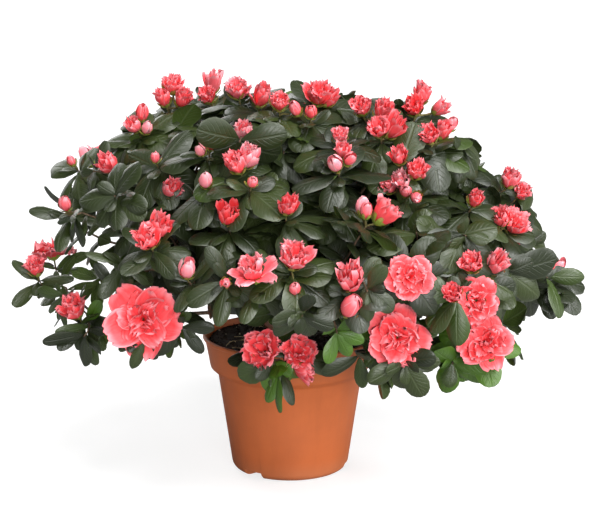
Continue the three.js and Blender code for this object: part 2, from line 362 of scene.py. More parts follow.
def add_piece(piece, replaced=()):
    """Hands a finished piece over to the frame."""
    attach(piece, "root")
    if replaced:
        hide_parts(*replaced)
    return piece


# ---------------------------------------------------------------- materials

class Surface(TreeMaker):
    """A material round one Principled shader."""

    def __init__(self, name, **plain):
        self.material = bpy.data.materials.new(name)
        self.material.use_nodes = True
        super().__init__(self.material.node_tree)
        self.shader = self.tree.nodes["Principled BSDF"]
        for label, value in plain.items():
            self.shader.inputs[label.replace("_", " ")].default_value = value

    def feed(self, label, value):
        self.tree.links.new(value.socket, self.shader.inputs[label])

    def place(self):
        return self.node("ShaderNodeTexCoord", output="Object")

    def map(self, name):
        return self.node("ShaderNodeUVMap", uv_map=name)

    def group(self, tree, inputs):
        node = self.tree.nodes.new("ShaderNodeGroup")
        node.node_tree = tree
        self.fill(node, inputs)
        return {output.name: Socket(self, output) for output in node.outputs}

    def bump(self, height, distance, strength=1.0):
        normal = self.node(
            "ShaderNodeBump", {"Height": height, "Distance": distance, "Strength": strength}
        )
        self.feed("Normal", normal)


def shade(colour, factor):
    return (*(min(channel * factor, 1.0) for channel in colour[:3]), 1.0)


def leaf_effect():
    """The pattern of a leaf: its midrib, side veins, margin and the swell between its veins."""
    tree = bpy.data.node_groups.new("leaf pattern", "ShaderNodeTree")
    sockets = {"Map": "Vector", "Blade": "Color", "Vein": "Color", "Margin": "Color"}
    for label, kind in sockets.items():
        tree.interface.new_socket(label, in_out="INPUT", socket_type="NodeSocket" + kind)
    for label, kind in {"Colour": "Color", "Roughness": "Float", "Height": "Float"}.items():
        tree.interface.new_socket(label, in_out="OUTPUT", socket_type="NodeSocket" + kind)
    maker = TreeMaker(tree)
    entry = tree.nodes.new("NodeGroupInput")
    inputs = (Socket(maker, output) for output in entry.outputs[:len(sockets)])
    chart, blade, vein, margin = inputs
    across, along, _ = maker.separate(chart)
    sideways = maker.maths("ABSOLUTE", across * 2.0 - 1.0)
    midrib = maker.smooth_step(sideways, 0.03, 0.12, 1.0, 0.0)
    ladder = maker.maths("FRACT", along * 8.0 - sideways * 2.6)
    side_vein = maker.smooth_step(maker.maths("ABSOLUTE", ladder - 0.5), 0.05, 0.16, 1.0, 0.0)
    fading = maker.smooth_step(sideways, 0.55, 0.95, 1.0, 0.0)
    veins = maker.maths("MAXIMUM", midrib, side_vein * fading * 0.45)
    blotch = maker.noise(chart, 5.0, 3.0, 0.6)
    mottled = maker.mix_colour(blotch, blade, vein)
    lightly = maker.mix_colour(0.35, blade, mottled)
    veined = maker.mix_colour(veins * 0.7, lightly, vein)
    # A pale rim along the margin: partly the margin's fine hairs, partly painted rim light.
    rim = maker.smooth_step(sideways, 0.9, 0.99)
    edged = maker.mix_colour(rim * 0.6, veined, margin)
    rough = 0.33 + blotch * 0.18 + veins * 0.08
    swell = maker.maths("MAXIMUM", midrib, side_vein * fading * 0.5)
    fine = maker.noise(chart, 38.0, 2.0, 0.6)
    height = 1.0 - swell + fine * 0.12
    exit_node = tree.nodes.new("NodeGroupOutput")
    for index, value in enumerate((edged, rough, height)):
        tree.links.new(value.socket, exit_node.inputs[index])
    return tree


def leaf_material(name, effect, blade, vein, margin, gloss, swell):
    """One leaf tone. The pattern follows the leaf's own map, so that every leaf of a tone is alike."""
    surface = Surface(name, Specular_IOR_Level=gloss)
    chart = surface.map("leaf")
    pattern = surface.group(effect, {"Map": chart, "Blade": blade, "Vein": vein, "Margin": margin})
    surface.feed("Base Color", pattern["Colour"])
    surface.feed("Roughness", pattern["Roughness"])
    surface.bump(pattern["Height"], swell * MM)
    return surface.material


def tone(red, green, blue):
    return (*(channel_to_linear(channel / 255) for channel in (red, green, blue)), 1.0)


# The blade of each leaf tone. Its veins are paler, and so is its margin: partly for its fine hairs,
# partly as painted rim light.
LEAF_TONES = {
    "slate": (31, 42, 9),
    "deep": (23, 33, 6),
    "grey": (42, 54, 15),
    # The olive and fresh tones are yellow-greener: partly young leaves, partly painted light shining
    # through leaves low in the crown.
    "olive": (44, 62, 10),
    "fresh": (64, 100, 14),
}


def leaf_materials():
    effect = leaf_effect()
    upper = []
    for name, colour in LEAF_TONES.items():
        blade = tone(*colour)
        pale = tone(*(channel * 0.9 + 20 for channel in colour))
        # The margin's colour, paler: partly for fine hairs, partly as painted rim light.
        edge = tone(*(channel * 0.8 + 36 for channel in colour))
        upper.append(leaf_material(f"leaf {name}", effect, blade, pale, edge, 0.6, 0.3))
    under = []
    for name, colour in (("grey", (66, 80, 42)), ("olive", (70, 90, 34))):
        blade = tone(*colour)
        vein = tone(*(channel * 0.8 + 44 for channel in colour))
        under.append(leaf_material(f"leaf under {name}", effect, blade, vein, vein, 0.25, -0.3))
    return upper, under


# The body, edge and throat of each petal tone. The throat is deeper partly of its own and partly as
# painted shade in the heart of the bloom; the edge is paler partly of its own and partly as a
# painted highlight.
PETAL_TONES = {
    "coral": ((251, 76, 82), (255, 152, 160), (230, 42, 48)),
    "rose": ((252, 98, 108), (255, 174, 182), (238, 60, 68)),
    # A darker copy of coral: painted shade, as on blooms that lie in shade, here dealt out at random.
    "deep": ((240, 56, 60), (252, 118, 124), (204, 30, 36)),
    "pale": ((254, 140, 152), (255, 196, 202), (244, 104, 116)),
}


def petal_material(name, body, edge, throat):
    """A petal: deep at its foot, partly as painted shade, pale at its edge, partly as a painted highlight,
    with fine veins that run outwards.
    """
    surface = Surface(f"petal {name}", Specular_IOR_Level=0.22)
    chart = surface.map("leaf")
    across, along, _ = surface.separate(chart)
    sideways = surface.maths("ABSOLUTE", across * 2.0 - 1.0)
    # Deeper towards the foot: partly the petal's own throat, partly painted shade in the heart of the
    # bloom.
    foot = surface.smooth_step(along, 0.05, 0.55, 1.0, 0.0)
    streaks = surface.noise(surface.combine(across * 9.0, along * 1.2, 0.0), 1.6, 3.0, 0.6)
    # Paler towards the edge: partly the petal's own margin, partly a painted highlight.
    outer = surface.smooth_step(surface.maths("MAXIMUM", sideways, along), 0.8, 1.0)
    colour = surface.mix_colour(foot * 0.8, tone(*body), tone(*throat))
    colour = surface.mix_colour(outer * 0.9, colour, tone(*edge))
    colour = surface.mix_colour((streaks - 0.35) * 0.5, colour, tone(*edge))
    surface.feed("Base Color", colour)
    surface.feed("Roughness", 0.42 + streaks * 0.2)
    veins = surface.maths("SINE", across * 75.0)
    surface.bump(veins * 0.3 + streaks, 0.25 * MM, 0.6)
    return surface.material


def sepal_material():
    surface = Surface("bud scale", Specular_IOR_Level=0.4)
    chart = surface.map("leaf")
    _, along, _ = surface.separate(chart)
    streaks = surface.noise(chart, 6.0, 3.0)
    green = surface.mix_colour(streaks, tone(112, 132, 40), tone(164, 174, 78))
    tipped = surface.mix_colour(surface.smooth_step(along, 0.6, 1.0), green, tone(158, 120, 70))
    surface.feed("Base Color", tipped)
    surface.feed("Roughness", 0.45 + streaks * 0.15)
    surface.bump(streaks, 0.2 * MM)
    return surface.material


def petal_materials():
    petals = [petal_material(name, *colours) for name, colours in PETAL_TONES.items()]
    return [*petals, sepal_material()]


def bark_material(name, colour, grain):
    """Bark: long fissures, pale flakes and a fine grain."""
    surface = Surface(name, Specular_IOR_Level=0.25)
    place = surface.place()
    stretched = surface.maths("MULTIPLY", place, (1.0, 1.0, 0.35))
    fissures = surface.noise(stretched, 260.0 * grain, 4.0, 0.65)
    flakes = surface.noise(place, 90.0 * grain, 3.0, 0.6)
    stops = [(0.3, shade(colour, 0.35)), (0.5, colour), (0.75, shade(colour, 1.9))]
    surface.feed("Base Color", surface.ramp(fissures * 0.7 + flakes * 0.3, stops))
    surface.feed("Roughness", 0.7 + flakes * 0.25)
    surface.bump(fissures, 0.5 * MM / grain)
    return surface.material


def pot_material(colour):
    """Moulded plastic in a clay colour: faint mottling, a soft grain and a dusty foot."""
    surface = Surface("moulded clay plastic", Specular_IOR_Level=0.42)
    place = surface.place()
    _, _, height = surface.separate(place)
    mottle = surface.noise(place, 28.0, 4.0, 0.55)
    flow = surface.noise(surface.maths("MULTIPLY", place, (1.0, 1.0, 0.12)), 160.0, 3.0, 0.5)
    fine = surface.noise(place, 1400.0, 2.0, 0.6)
    stops = [(0.3, shade(colour, 0.88)), (0.5, colour), (0.72, shade(colour, 1.1))]
    base = surface.ramp(mottle * 0.7 + flow * 0.3, stops)
    foot = surface.smooth_step(height, 0.0, 0.02, 0.35, 0.0)
    dusty = surface.mix_colour(foot * mottle, base, tone(176, 140, 112))
    surface.feed("Base Color", dusty)
    surface.feed("Roughness", 0.42 + flow * 0.16 + fine * 0.06)
    surface.bump(fine * 0.6 + flow * 0.8, 0.12 * MM, 0.6)
    return surface.material


def soil_material(name, colour):
    """Moist peat: near black, with brown fibres and specks."""
    surface = Surface(name, Specular_IOR_Level=0.12)
    place = surface.place()
    grit = surface.noise(place, 420.0, 4.0, 0.7)
    damp = surface.noise(place, 60.0, 3.0, 0.6)
    stops = [(0.35, shade(colour, 0.4)), (0.55, colour), (0.72, shade(colour, 3.2))]
    surface.feed("Base Color", surface.ramp(grit, stops))
    surface.feed("Roughness", 0.95 - damp * 0.3)
    surface.bump(grit, 1.2 * MM)
    return surface.material


def straw_material():
    surface = Surface("dry straw", Specular_IOR_Level=0.3)
    streaks = surface.noise(surface.place(), 300.0, 3.0)
    stops = [(0.3, tone(120, 98, 66)), (0.7, tone(206, 186, 142))]
    surface.feed("Base Color", surface.ramp(streaks, stops))
    surface.feed("Roughness", 0.6 + streaks * 0.2)
    return surface.material


# ---------------------------------------------------------------- vectors

def unit(vector):
    return vector / max(np.linalg.norm(vector), 1e-9)


def square_to(vector, axis):
    """The part of a vector at right angles to an axis, as a unit vector."""
    return unit(vector - axis * np.dot(vector, axis))


def across_pair(axis):
    """Two unit vectors at right angles to an axis and to each other."""
    helper = UP if abs(axis[2]) < 0.9 else np.array([1.0, 0.0, 0.0])
    first = square_to(helper, axis)
    return first, np.cross(axis, first)


def bent_line(start, start_pull, end, end_pull, steps):
    """Points on a smooth curve that leaves the start and reaches the end along the given pulls."""
    line = []
    for share in np.linspace(0, 1, steps):
        rest = 1 - share
        line.append(
            rest**3 * start
            + 3 * rest**2 * share * (start + start_pull)
            + 3 * rest * share**2 * (end - end_pull)
            + share**3 * end
        )
    return np.array(line)


# ---------------------------------------------------------------- the solids

def node_arrays(name):
    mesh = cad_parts[name].data
    mesh.calc_loop_triangles()
    points = np.array([vertex.co for vertex in mesh.vertices])
    corners = np.array([triangle.vertices for triangle in mesh.loop_triangles])
    return points, corners


def scatter_on(points, corners, count, rng):
    """Random places all over a solid's surface, with the surface's directions there."""
    first, second, third = (points[corners[:, index]] for index in range(3))
    normals = np.cross(second - first, third - first)
    areas = np.linalg.norm(normals, axis=1)
    chosen = rng.choice(len(corners), count, p=areas / areas.sum())
    one, two = rng.rand(count, 1), rng.rand(count, 1)
    folded = one + two > 1
    one, two = np.where(folded, 1 - one, one), np.where(folded, 1 - two, two)
    places = first[chosen] + one * (second - first)[chosen] + two * (third - first)[chosen]
    return places, normals[chosen] / areas[chosen, None]


class Mass:
    """One mass of foliage: its surface, its middle, and the shoots that fill it."""

    def __init__(self, name):
        self.name = name
        self.is_spray = name.startswith("spray_")
        self.points, self.corners = node_arrays(name)
        self.centre = self.points.mean(axis=0)
        self.tree = BVHTree.FromPolygons(self.points.tolist(), self.corners.tolist())
        self.shoots = []

    def distance(self, point):
        return self.tree.find_nearest(Vector(point))[3]


def trace_limb(name, steps):
    """A limb's middle line and radii, from where it leaves its parent to where it ends."""
    rng = np.random.RandomState(1)
    places, _ = scatter_on(*node_arrays(name), 1500, rng)
    if name == "stem":
        travel = places[:, 2] - places[:, 2].min()
    else:
        reach = np.hypot(places[:, 0], places[:, 1]) + 0.35 * places[:, 2]
        foot = places[np.argsort(reach)[:25]].mean(axis=0)
        travel = np.linalg.norm(places - foot, axis=1)
    edges = np.linspace(0, travel.max(), steps + 1)
    line, radii = [], []
    for low, high in zip(edges[:-1], edges[1:]):
        band = places[(travel >= low) & (travel <= high)]
        if len(band) < 8:
            continue
        middle = band.mean(axis=0)
        line.append(middle)
        radii.append(np.linalg.norm(band - middle, axis=1))
    line = np.array(line)
    along = np.gradient(line, axis=0)
    along /= np.linalg.norm(along, axis=1)[:, None]
    widths = []
    for index, (low, high) in enumerate(zip(edges[:-1], edges[1:])):
        if index >= len(line):
            break
        band = places[(travel >= low) & (travel <= high)] - line[index]
        flat = band - (band @ along[index])[:, None] * along[index]
        widths.append(np.median(np.linalg.norm(flat, axis=1)))
    first = 2 * line[0] - line[1] if len(line) > 1 else line[0]
    last = 2 * line[-1] - line[-2] if len(line) > 1 else line[-1]
    line = np.vstack([(first + line[0]) / 2, line, (last + line[-1]) / 2])
    return line, np.array([widths[0], *widths, widths[-1]])


# ---------------------------------------------------------------- growth

# How the front elevation lies on a sheet square to the line of sight through the camera's aim:
# its shift sideways and down in millimetres, and how much heights are foreshortened.
SHEET_SHIFT = -8.5
SHEET_DROP = -174.8
SHEET_RISE = 0.969
# Blooms on the front: kind, then across and up on the front elevation and width in millimetres,
# then how far the bloom leans to the right and tips towards the viewer from upright, in degrees.
FRONT_BLOOMS = [
    ("open", -126, 131, 58, -5, 78), ("open", 92, 115, 50, 6, 78), ("open", 167, 112, 47, 12, 66),
    ("open", 159, 148, 38, -20, 72), ("open", 102, 169, 38, 4, 66), ("flared", -32, 178, 42, -10, 20),
    ("half", 3, 184, 27, 8, 32), ("cup", -23, 105, 31, -26, 52), ("cup", 7, 102, 29, 18, 58),
    ("young", 12, 85, 14, 118, 24), ("young", 51, 168, 20, -5, 41), ("bud", 53, 144, 16, 25, 45),
    ("half", -217, 176, 21, -6, 24), ("half", -184, 139, 26, -25, 32), ("half", -121, 201, 24, -10, 41),
    ("young", -112, 213, 17, 20, 31), ("bud", -87, 177, 12, 10, 37), ("young", -156, 269, 15, -40, 38),
    ("bud", -187, 272, 6, -20, 25), ("bud", -192, 234, 9, 0, 37), ("young", -102, 247, 15, 30, 47),
    ("bud", -115, 275, 6, 0, 25), ("bud", -127, 314, 9, 0, 16), ("young", -134, 303, 12, -25, 37),
    ("bud", -122, 301, 8, 25, 37), ("young", -109, 327, 13, -20, 25), ("half", -100, 336, 21, -5, 25),
    ("young", -92, 327, 14, 20, 31), ("young", -66, 341, 17, 5, 14), ("half", -70, 327, 19, -20, 37),
    ("half", -45, 332, 22, -8, 32), ("young", -25, 329, 16, 10, 28), ("half", -9, 321, 18, 0, 34),
    ("half", 24, 328, 26, 6, 37), ("bud", 4, 318, 9, -20, 34), ("bud", 18, 315, 8, 0, 43),
    ("young", 34, 327, 14, 30, 28), ("young", -39, 297, 14, 0, 41), ("young", -66, 288, 11, 25, 28),
    ("bud", -77, 281, 7, -20, 37), ("bud", -72, 255, 11, 0, 48), ("young", -47, 269, 16, -25, 37),
    ("young", -35, 275, 16, 15, 31), ("bud", -32, 253, 7, 20, 50), ("young", -53, 224, 16, 0, 38),
    ("young", -2, 232, 14, 10, 37), ("half", 43, 292, 15, 0, 28), ("bud", 38, 269, 10, -25, 48),
    ("bud", 52, 273, 8, 40, 41), ("young", 45, 281, 11, 0, 37), ("half", 61, 317, 20, -10, 31),
    ("young", 79, 316, 15, 15, 31), ("half", 76, 298, 20, -15, 38), ("young", 88, 302, 18, 20, 31),
    ("half", 106, 317, 20, -8, 38), ("young", 113, 331, 14, 8, 12), ("young", 129, 318, 13, 50, 28),
    ("half", 119, 292, 19, -25, 37), ("young", 131, 298, 13, 12, 22), ("bud", 138, 304, 8, 25, 19),
    ("young", 93, 276, 13, -10, 37), ("half", 108, 261, 20, 12, 32), ("young", 95, 254, 14, -20, 37),
    ("young", 84, 249, 12, -50, 41), ("bud", 99, 245, 8, -10, 53), ("bud", 108, 239, 8, 15, 95),
    ("young", 189, 256, 15, 15, 31), ("half", 197, 243, 18, 25, 38), ("young", 158, 238, 12, 10, 37),
    ("young", 180, 221, 13, -20, 37), ("half", 191, 213, 21, 30, 37), ("half", 156, 179, 20, -20, 41),
    ("young", 177, 181, 17, 25, 31), ("bud", 222, 178, 10, 0, 19), ("bud", 230, 179, 10, 25, 22),
    ("half", 140, 153, 18, -20, 48), ("bud", -55, 163, 6, 0, 90), ("bud", 4, 159, 8, 0, 50),
]
# Shoots with leaves alone that shape the outline, told the same way but with the leaf's length,
# and for some the number of leaves, how far they spread in degrees, and their tone.
FRONT_TUFTS = [
    (-20, 333, 27, 97, 45, 1, 8, "deep"), (56, 316, 26, 96, 55, 2, 30, "slate"),
    (-168, 262, 27, -78, 35), (-186, 222, 28, -98, 25), (-150, 240, 30, -70, 50),
    (-196, 150, 30, -112, 30), (-176, 116, 34, -140, 35), (-124, 112, 30, 178, 62),
    (-93, 124, 30, 170, 66), (-14, 92, 31, 188, 58), (98, 92, 31, 172, 62), (139, 92, 30, 182, 62),
    (220, 168, 36, 104, 40, 2, 26, "olive"), (204, 158, 37, 150, 52), (186, 172, 36, 120, 60),
    (206, 196, 32, 74, 46), (200, 226, 33, 76, 40), (148, 286, 30, 66, 40), (66, 156, 28, 168, 66),
    (-150, 158, 26, -120, 50), (10, 134, 28, 182, 58), (150, 205, 36, 100, 70),
    # The fresh tone of these low leaves is partly painted light shining through them.
    (-10, 83, 30, 216, 16, 2, 15, "fresh"), (-6, 83, 29, 142, 16, 1, 5, "fresh"),
    (40, 119, 24, 165, 66, 6, 72, "fresh"), (60, 96, 28, 176, 50, 4, 50, "slate"),
]
# How high the leaves reach on the front elevation, from left to right.
FRONT_OUTLINE = [
    (-236, 205), (-211, 262), (-186, 277), (-154, 304), (-126, 324), (-60, 335), (-20, 340),
    (49, 333), (94, 325), (154, 289), (177, 266), (208, 242), (217, 219), (237, 186), (262, 172),
]
# The leaves under a cup-shaped bloom: their number, how far they spread in degrees and their tone.
CUP_LEAVES = (3, 74, "olive")
# The height of each kind of bloom over its width.
BLOOM_HEIGHT = {"open": 0.3, "cup": 0.4, "flared": 0.62, "half": 0.6, "young": 1.3, "bud": 1.75}


def camera_place(stage):
    """Where the camera stands, and its forward direction."""
    forward = np.array([0.0, math.cos(stage.elevation), -math.sin(stage.elevation)])
    return np.array(stage.aim) - forward * stage.distance, forward


def facing(lean, tip):
    """A direction that leans to the right and tips towards the front from upright."""
    lean, tip = math.radians(lean), math.radians(tip)
    plane = np.array([math.sin(lean), 0.0, math.cos(lean)])
    return unit(plane * math.cos(tip) + np.array([0.0, -1.0, 0.0]) * math.sin(tip))


# The foliage thins out beyond a distance from an upright line through the crown and below a
# height, both over the same stretch. The height falls to the right by a share of the way across.
THIN_CENTRE = 0.035
THIN_BEYOND = 0.15
THIN_BELOW = 0.242
THIN_OVER = 0.05
THIN_SLANT = 0.16


def thinness(place):
    """How thin the foliage is at a place: 0 in the crown, 1 far out on the low side branches.

    It starts to thin out higher up on the left, where the low branches reach out further.
    """
    far = (math.hypot(place[0] - THIN_CENTRE, place[1]) - THIN_BEYOND) / THIN_OVER
    low = (THIN_BELOW - THIN_SLANT * place[0] - place[2]) / THIN_OVER
    return min(max(far, 0.0), 1.0) * min(max(low, 0.0), 1.0)


class Shoot:
    """The end of a twig: where it is, which way it points, and what it carries."""

    def __init__(self, tip, direction, outward, mass, leaf_size=1.0, inner=False):
        self.tip = tip
        self.direction = direction
        self.outward = outward
        self.mass = mass
        self.leaf_size = leaf_size
        self.inner = inner
        self.blooms = []
        self.twig = None
        self.thinness = thinness(tip)
        self.spread = 80 - 14 * self.thinness
        self.leaf_count = None
        self.tone = None
        mass.shoots.append(self)


# How far a bloom's foot may lie from a shoot that carries it too, and how far it stands above a
# shoot of its own.
SHARED_REACH = 21 * MM
NECK = 6 * MM
# How far below its stated place a bloom's foot lies, over its height.
FOOT_SHARE = 0.55
# The leaf length in millimetres that gives a tuft leaves of the usual size.
TUFT_LEAF = 34
# How many places on each mass are tried for outer and for inner shoots.
OUTER_TRIES = 260
INNER_TRIES = 130
# How deep in its mass an outer shoot's tip lies in millimetres: in all masses, how much deeper on
# undersides, the steps by which it sinks to stay below the outline, and where that ends.
OUTER_DEPTH = 15
UNDERSIDE_DEPTH = 14
SINKING_STEP = 6
SUNK_DEPTH = 42
# How far below the outline the tips of shoots, the tips of leaves and far blooms stay, in
# millimetres. A leaf may reach past it.
SHOOT_MARGIN = 13
LEAF_MARGIN = -6
BLOOM_MARGIN = 26
# How deep inner shoots lie, and how far from the outer ones, in millimetres.
INNER_DEPTHS = (26, 52)
INNER_FROM_OUTER = 22
# How far a bloom keeps leaves away: in front of it, and beside it over its radius. Leaves whose
# middle is further off than the reach can't come near it.
BLOOM_FRONT = 70 * MM
BLOOM_BESIDE = 0.85
LEAF_REACH = 75 * MM
# The kinds of bloom on the far side, their widths in millimetres, and how likely each is on low
# and on high shoots.
FAR_WIDTHS = {"bud": (8, 12), "young": (13, 19), "half": (20, 30), "open": (38, 54)}
FAR_LOW = [0.1, 0.25, 0.3, 0.35]
FAR_HIGH = [0.25, 0.33, 0.32, 0.1]
# The height below which a shoot counts as low.
LOW_SHOOTS = 0.2
# How far the blooms of one shoot lean apart, and how many shoots a fork carries on average.
BLOOMS_APART = 0.42
SHOOTS_PER_FORK = 5


class Growth:
    """The whole branching of the crown, worked out once from the solids and a seed."""

    def __init__(self, branches, blossom, stage):
        self.rng = np.random.RandomState(branches.seed)
        self.branches = branches
        self.masses = [Mass(name) for name in MASS_NODES]
        points = np.vstack([mass.points for mass in self.masses])
        starts = np.cumsum([0] + [len(mass.points) for mass in self.masses[:-1]])
        corners = np.vstack([mass.corners + start for mass, start in zip(self.masses, starts)])
        self.crown = BVHTree.FromPolygons(points.tolist(), corners.tolist())
        self.aim = np.array(stage.aim)
        self.camera, self.line_of_sight = camera_place(stage)
        self.limbs = {name: trace_limb(name, 8) for name in LIMB_NODES}
        self.lines = []
        self.shoots = []
        self.clear = []
        self.place_front_blooms()
        self.place_front_tufts()
        self.fill_outside()
        self.fill_inside()
        self.flower_far_side(blossom)
        for mass in self.masses:
            self.branch_into(mass)

    def nearest_mass(self, point):
        return min(self.masses, key=lambda mass: mass.distance(point))

    def on_crown(self, across, up):
        """The place on the crown behind a point of the front elevation."""
        sideward = np.array([1.0, 0.0, 0.0])
        upward = np.cross(sideward, self.line_of_sight)
        target = self.aim + sideward * (across + SHEET_SHIFT) * MM
        target = target + upward * (up * SHEET_RISE + SHEET_DROP) * MM
        forward = unit(target - self.camera)
        for radius in np.arange(0, 61, 4) * MM:
            for turn in np.linspace(0, 2 * math.pi, 12, endpoint=False):
                shift = sideward * math.cos(turn) * radius + upward * math.sin(turn) * radius
                toward = unit(target + shift - self.camera)
                hit, normal, _, distance = self.crown.ray_cast(Vector(self.camera), Vector(toward))
                if hit is not None:
                    depth = distance * float(np.dot(toward, forward))
                    return self.camera + forward * depth, np.array(normal)
        raise RuntimeError(f"nothing of the crown lies near {across}, {up}")

    def add_shoot(self, tip, direction, outward, **extra):
        shoot = Shoot(tip, direction, outward, self.nearest_mass(tip), **extra)
        self.shoots.append(shoot)
        return shoot

    def place_front_blooms(self):
        """The blooms of the front, each on a shoot of its own or on one that stands near."""
        for kind, across, up, width, lean, tip in FRONT_BLOOMS:
            place, normal = self.on_crown(across, up)
            axis = facing(lean, tip)
            foot = place - axis * width * MM * BLOOM_HEIGHT[kind] * FOOT_SHARE
            near = [
                shoot for shoot in self.shoots if np.linalg.norm(shoot.tip - foot) < SHARED_REACH
            ]
            if near:
                shoot = min(near, key=lambda each: np.linalg.norm(each.tip - foot))
            else:
                outward = unit(normal + UP * 0.2)
                direction = unit(axis * 0.7 + outward * 0.5)
                shoot = self.add_shoot(foot - direction * NECK, direction, outward)
            shoot.blooms.append((kind, foot, axis, width * MM))
            if kind == "cup":
                shoot.leaf_count, shoot.spread, shoot.tone = CUP_LEAVES
            self.clear.append(self.bloom_space(kind, foot, axis, width * MM, unit(self.camera - foot)))

    @staticmethod
    def bloom_space(kind, foot, axis, width, view):
        """The space of a bloom that leaves keep clear of: its middle, radius, axis and open side."""
        height = width * BLOOM_HEIGHT[kind]
        return foot + axis * height * 0.5, max(width, height) * 0.5, axis, view

    def keeps_clear(self, points):
        """Whether a leaf leaves the blooms room, told by a few points along it.

        None of them may lie close in front of a bloom, neither along its axis nor from its open side.
        """
        for middle, radius, axis, view in self.clear:
            gap = points - middle
            if np.linalg.norm(gap[1]) > radius + LEAF_REACH:
                continue
            for direction in (axis, view):
                ahead = gap @ direction
                beside = np.linalg.norm(gap - ahead[:, None] * direction, axis=1)
                in_front = (ahead > 0) & (ahead < BLOOM_FRONT)
                if (in_front & (beside < radius * BLOOM_BESIDE)).any():
                    return False
        return True

    def place_front_tufts(self):
        """The leafy shoots that shape the outline of the front."""
        for across, up, length, lean, tip, *whorl in FRONT_TUFTS:
            place, normal = self.on_crown(across, up)
            direction = facing(lean, tip)
            outward = unit(normal + direction)
            shoot = self.add_shoot(place, direction, outward, leaf_size=length / TUFT_LEAF)
            if whorl:
                shoot.leaf_count, shoot.spread, shoot.tone = whorl

    def under_outline(self, place, margin):
        """Whether a place stays below the outline of the leaves as seen from the camera."""
        gap = place - self.camera
        gap = gap * np.dot(self.aim - self.camera, self.line_of_sight) / np.dot(gap, self.line_of_sight)
        upward = np.cross([1.0, 0.0, 0.0], self.line_of_sight)
        shift = self.camera + gap - self.aim
        up = (np.dot(shift, upward) / MM - SHEET_DROP) / SHEET_RISE
        return up < np.interp(shift[0] / MM - SHEET_SHIFT, *np.transpose(FRONT_OUTLINE)) - margin

    def is_outside(self, place, normal, own):
        """Whether a place on a mass is clear of the other masses and of what lies over it."""
        for mass in self.masses:
            if mass is not own and mass.distance(place) < 8 * MM:
                return False
        start = Vector(place + normal * 2 * MM)
        return self.crown.ray_cast(start, Vector(normal), 0.3)[0] is None

    def fill_outside(self):
        """Shoots all over the outside of the crown, wherever none stands near yet."""
        candidates = []
        for mass in self.masses:
            places, normals = scatter_on(mass.points, mass.corners, OUTER_TRIES, self.rng)
            for place, normal in zip(places, normals):
                if normal[2] < -0.55 and self.rng.rand() < 0.5:
                    continue
                if self.is_outside(place, normal, mass):
                    candidates.append((place, normal, mass))
        for index in self.rng.permutation(len(candidates)):
            place, normal, mass = candidates[index]
            gap = self.branches.spray_gap if mass.is_spray else self.branches.outer_gap
            depth = OUTER_DEPTH + UNDERSIDE_DEPTH * max(-normal[2], 0.0)
            tip = place - normal * depth * MM
            while depth < SUNK_DEPTH and not self.under_outline(tip, SHOOT_MARGIN):
                depth += SINKING_STEP
                tip = place - normal * depth * MM
            gap *= 1 + 0.4 * thinness(tip)
            if all(np.linalg.norm(shoot.tip - tip) > gap for shoot in self.shoots):
                lift = 0.15 if mass.is_spray else 0.55
                jitter = self.rng.normal(0, 0.2, 3)
                direction = unit(normal * 0.75 + UP * lift + jitter)
                size = self.rng.normal(0.98, 0.08)
                shoot = Shoot(tip, direction, normal, mass, leaf_size=size)
                self.shoots.append(shoot)

    def fill_inside(self):
        """A second layer of shoots deeper in the crown, which closes it where it is dense."""
        outer = list(self.shoots)
        for mass in self.masses:
            if mass.is_spray:
                continue
            places, normals = scatter_on(mass.points, mass.corners, INNER_TRIES, self.rng)
            for place, normal in zip(places, normals):
                depth = self.rng.uniform(*INNER_DEPTHS) * MM
                tip = place - normal * depth
                if thinness(place) > 0.3 or not self.is_outside(place, normal, mass):
                    continue
                near_outer = min(np.linalg.norm(shoot.tip - tip) for shoot in outer)
                others = [shoot.tip for shoot in self.shoots[len(outer):]]
                near_inner = min((np.linalg.norm(each - tip) for each in others), default=1.0)
                if near_outer > INNER_FROM_OUTER * MM and near_inner > self.branches.inner_gap:
                    direction = unit(normal + UP * 0.3 + self.rng.normal(0, 0.3, 3))
                    self.shoots.append(Shoot(tip, direction, normal, mass, inner=True))

    def flower_far_side(self, blossom):
        """Blooms on the shoots that the front view doesn't show well."""
        rng = np.random.RandomState(blossom.seed)
        kinds = list(FAR_WIDTHS)
        for shoot in self.shoots:
            towards = unit(self.camera - shoot.tip)
            unseen = np.dot(shoot.outward, towards) < -0.08 and shoot.outward[2] > -0.25
            if shoot.inner or shoot.blooms or not unseen:
                continue
            if rng.rand() > blossom.chance or not self.under_outline(shoot.tip, BLOOM_MARGIN):
                continue
            kind = rng.choice(kinds, p=FAR_LOW if shoot.tip[2] < LOW_SHOOTS else FAR_HIGH)
            count = 1 if kind == "open" else rng.randint(1, 4)
            first, second = across_pair(shoot.direction)
            for index in range(count):
                turn = 2 * math.pi * (index / count + rng.rand() * 0.2)
                spread = 0.0 if count == 1 else BLOOMS_APART
                sideways = first * math.cos(turn) + second * math.sin(turn)
                axis = unit(shoot.direction + sideways * spread + UP * 0.15)
                foot = shoot.tip + shoot.direction * NECK + sideways * spread * 14 * MM
                width = rng.uniform(*FAR_WIDTHS[kind]) * MM
                shoot.blooms.append((str(kind), foot, axis, width))
                self.clear.append(self.bloom_space(kind, foot, axis, width, shoot.outward))
                kind = rng.choice(kinds[:3])

    def anchor_of(self, mass):
        """Where twigs start for a mass: at its own limb's end, or at the nearest limb's end."""
        own = "bough_" + mass.name.replace("foliage_", "")
        if own in self.limbs:
            line, radii = self.limbs[own]
        else:
            line, radii = min(
                self.limbs.values(), key=lambda limb: np.linalg.norm(limb[0][-1] - mass.centre)
            )
        return line[-1], unit(line[-1] - line[-2]), radii[-1]

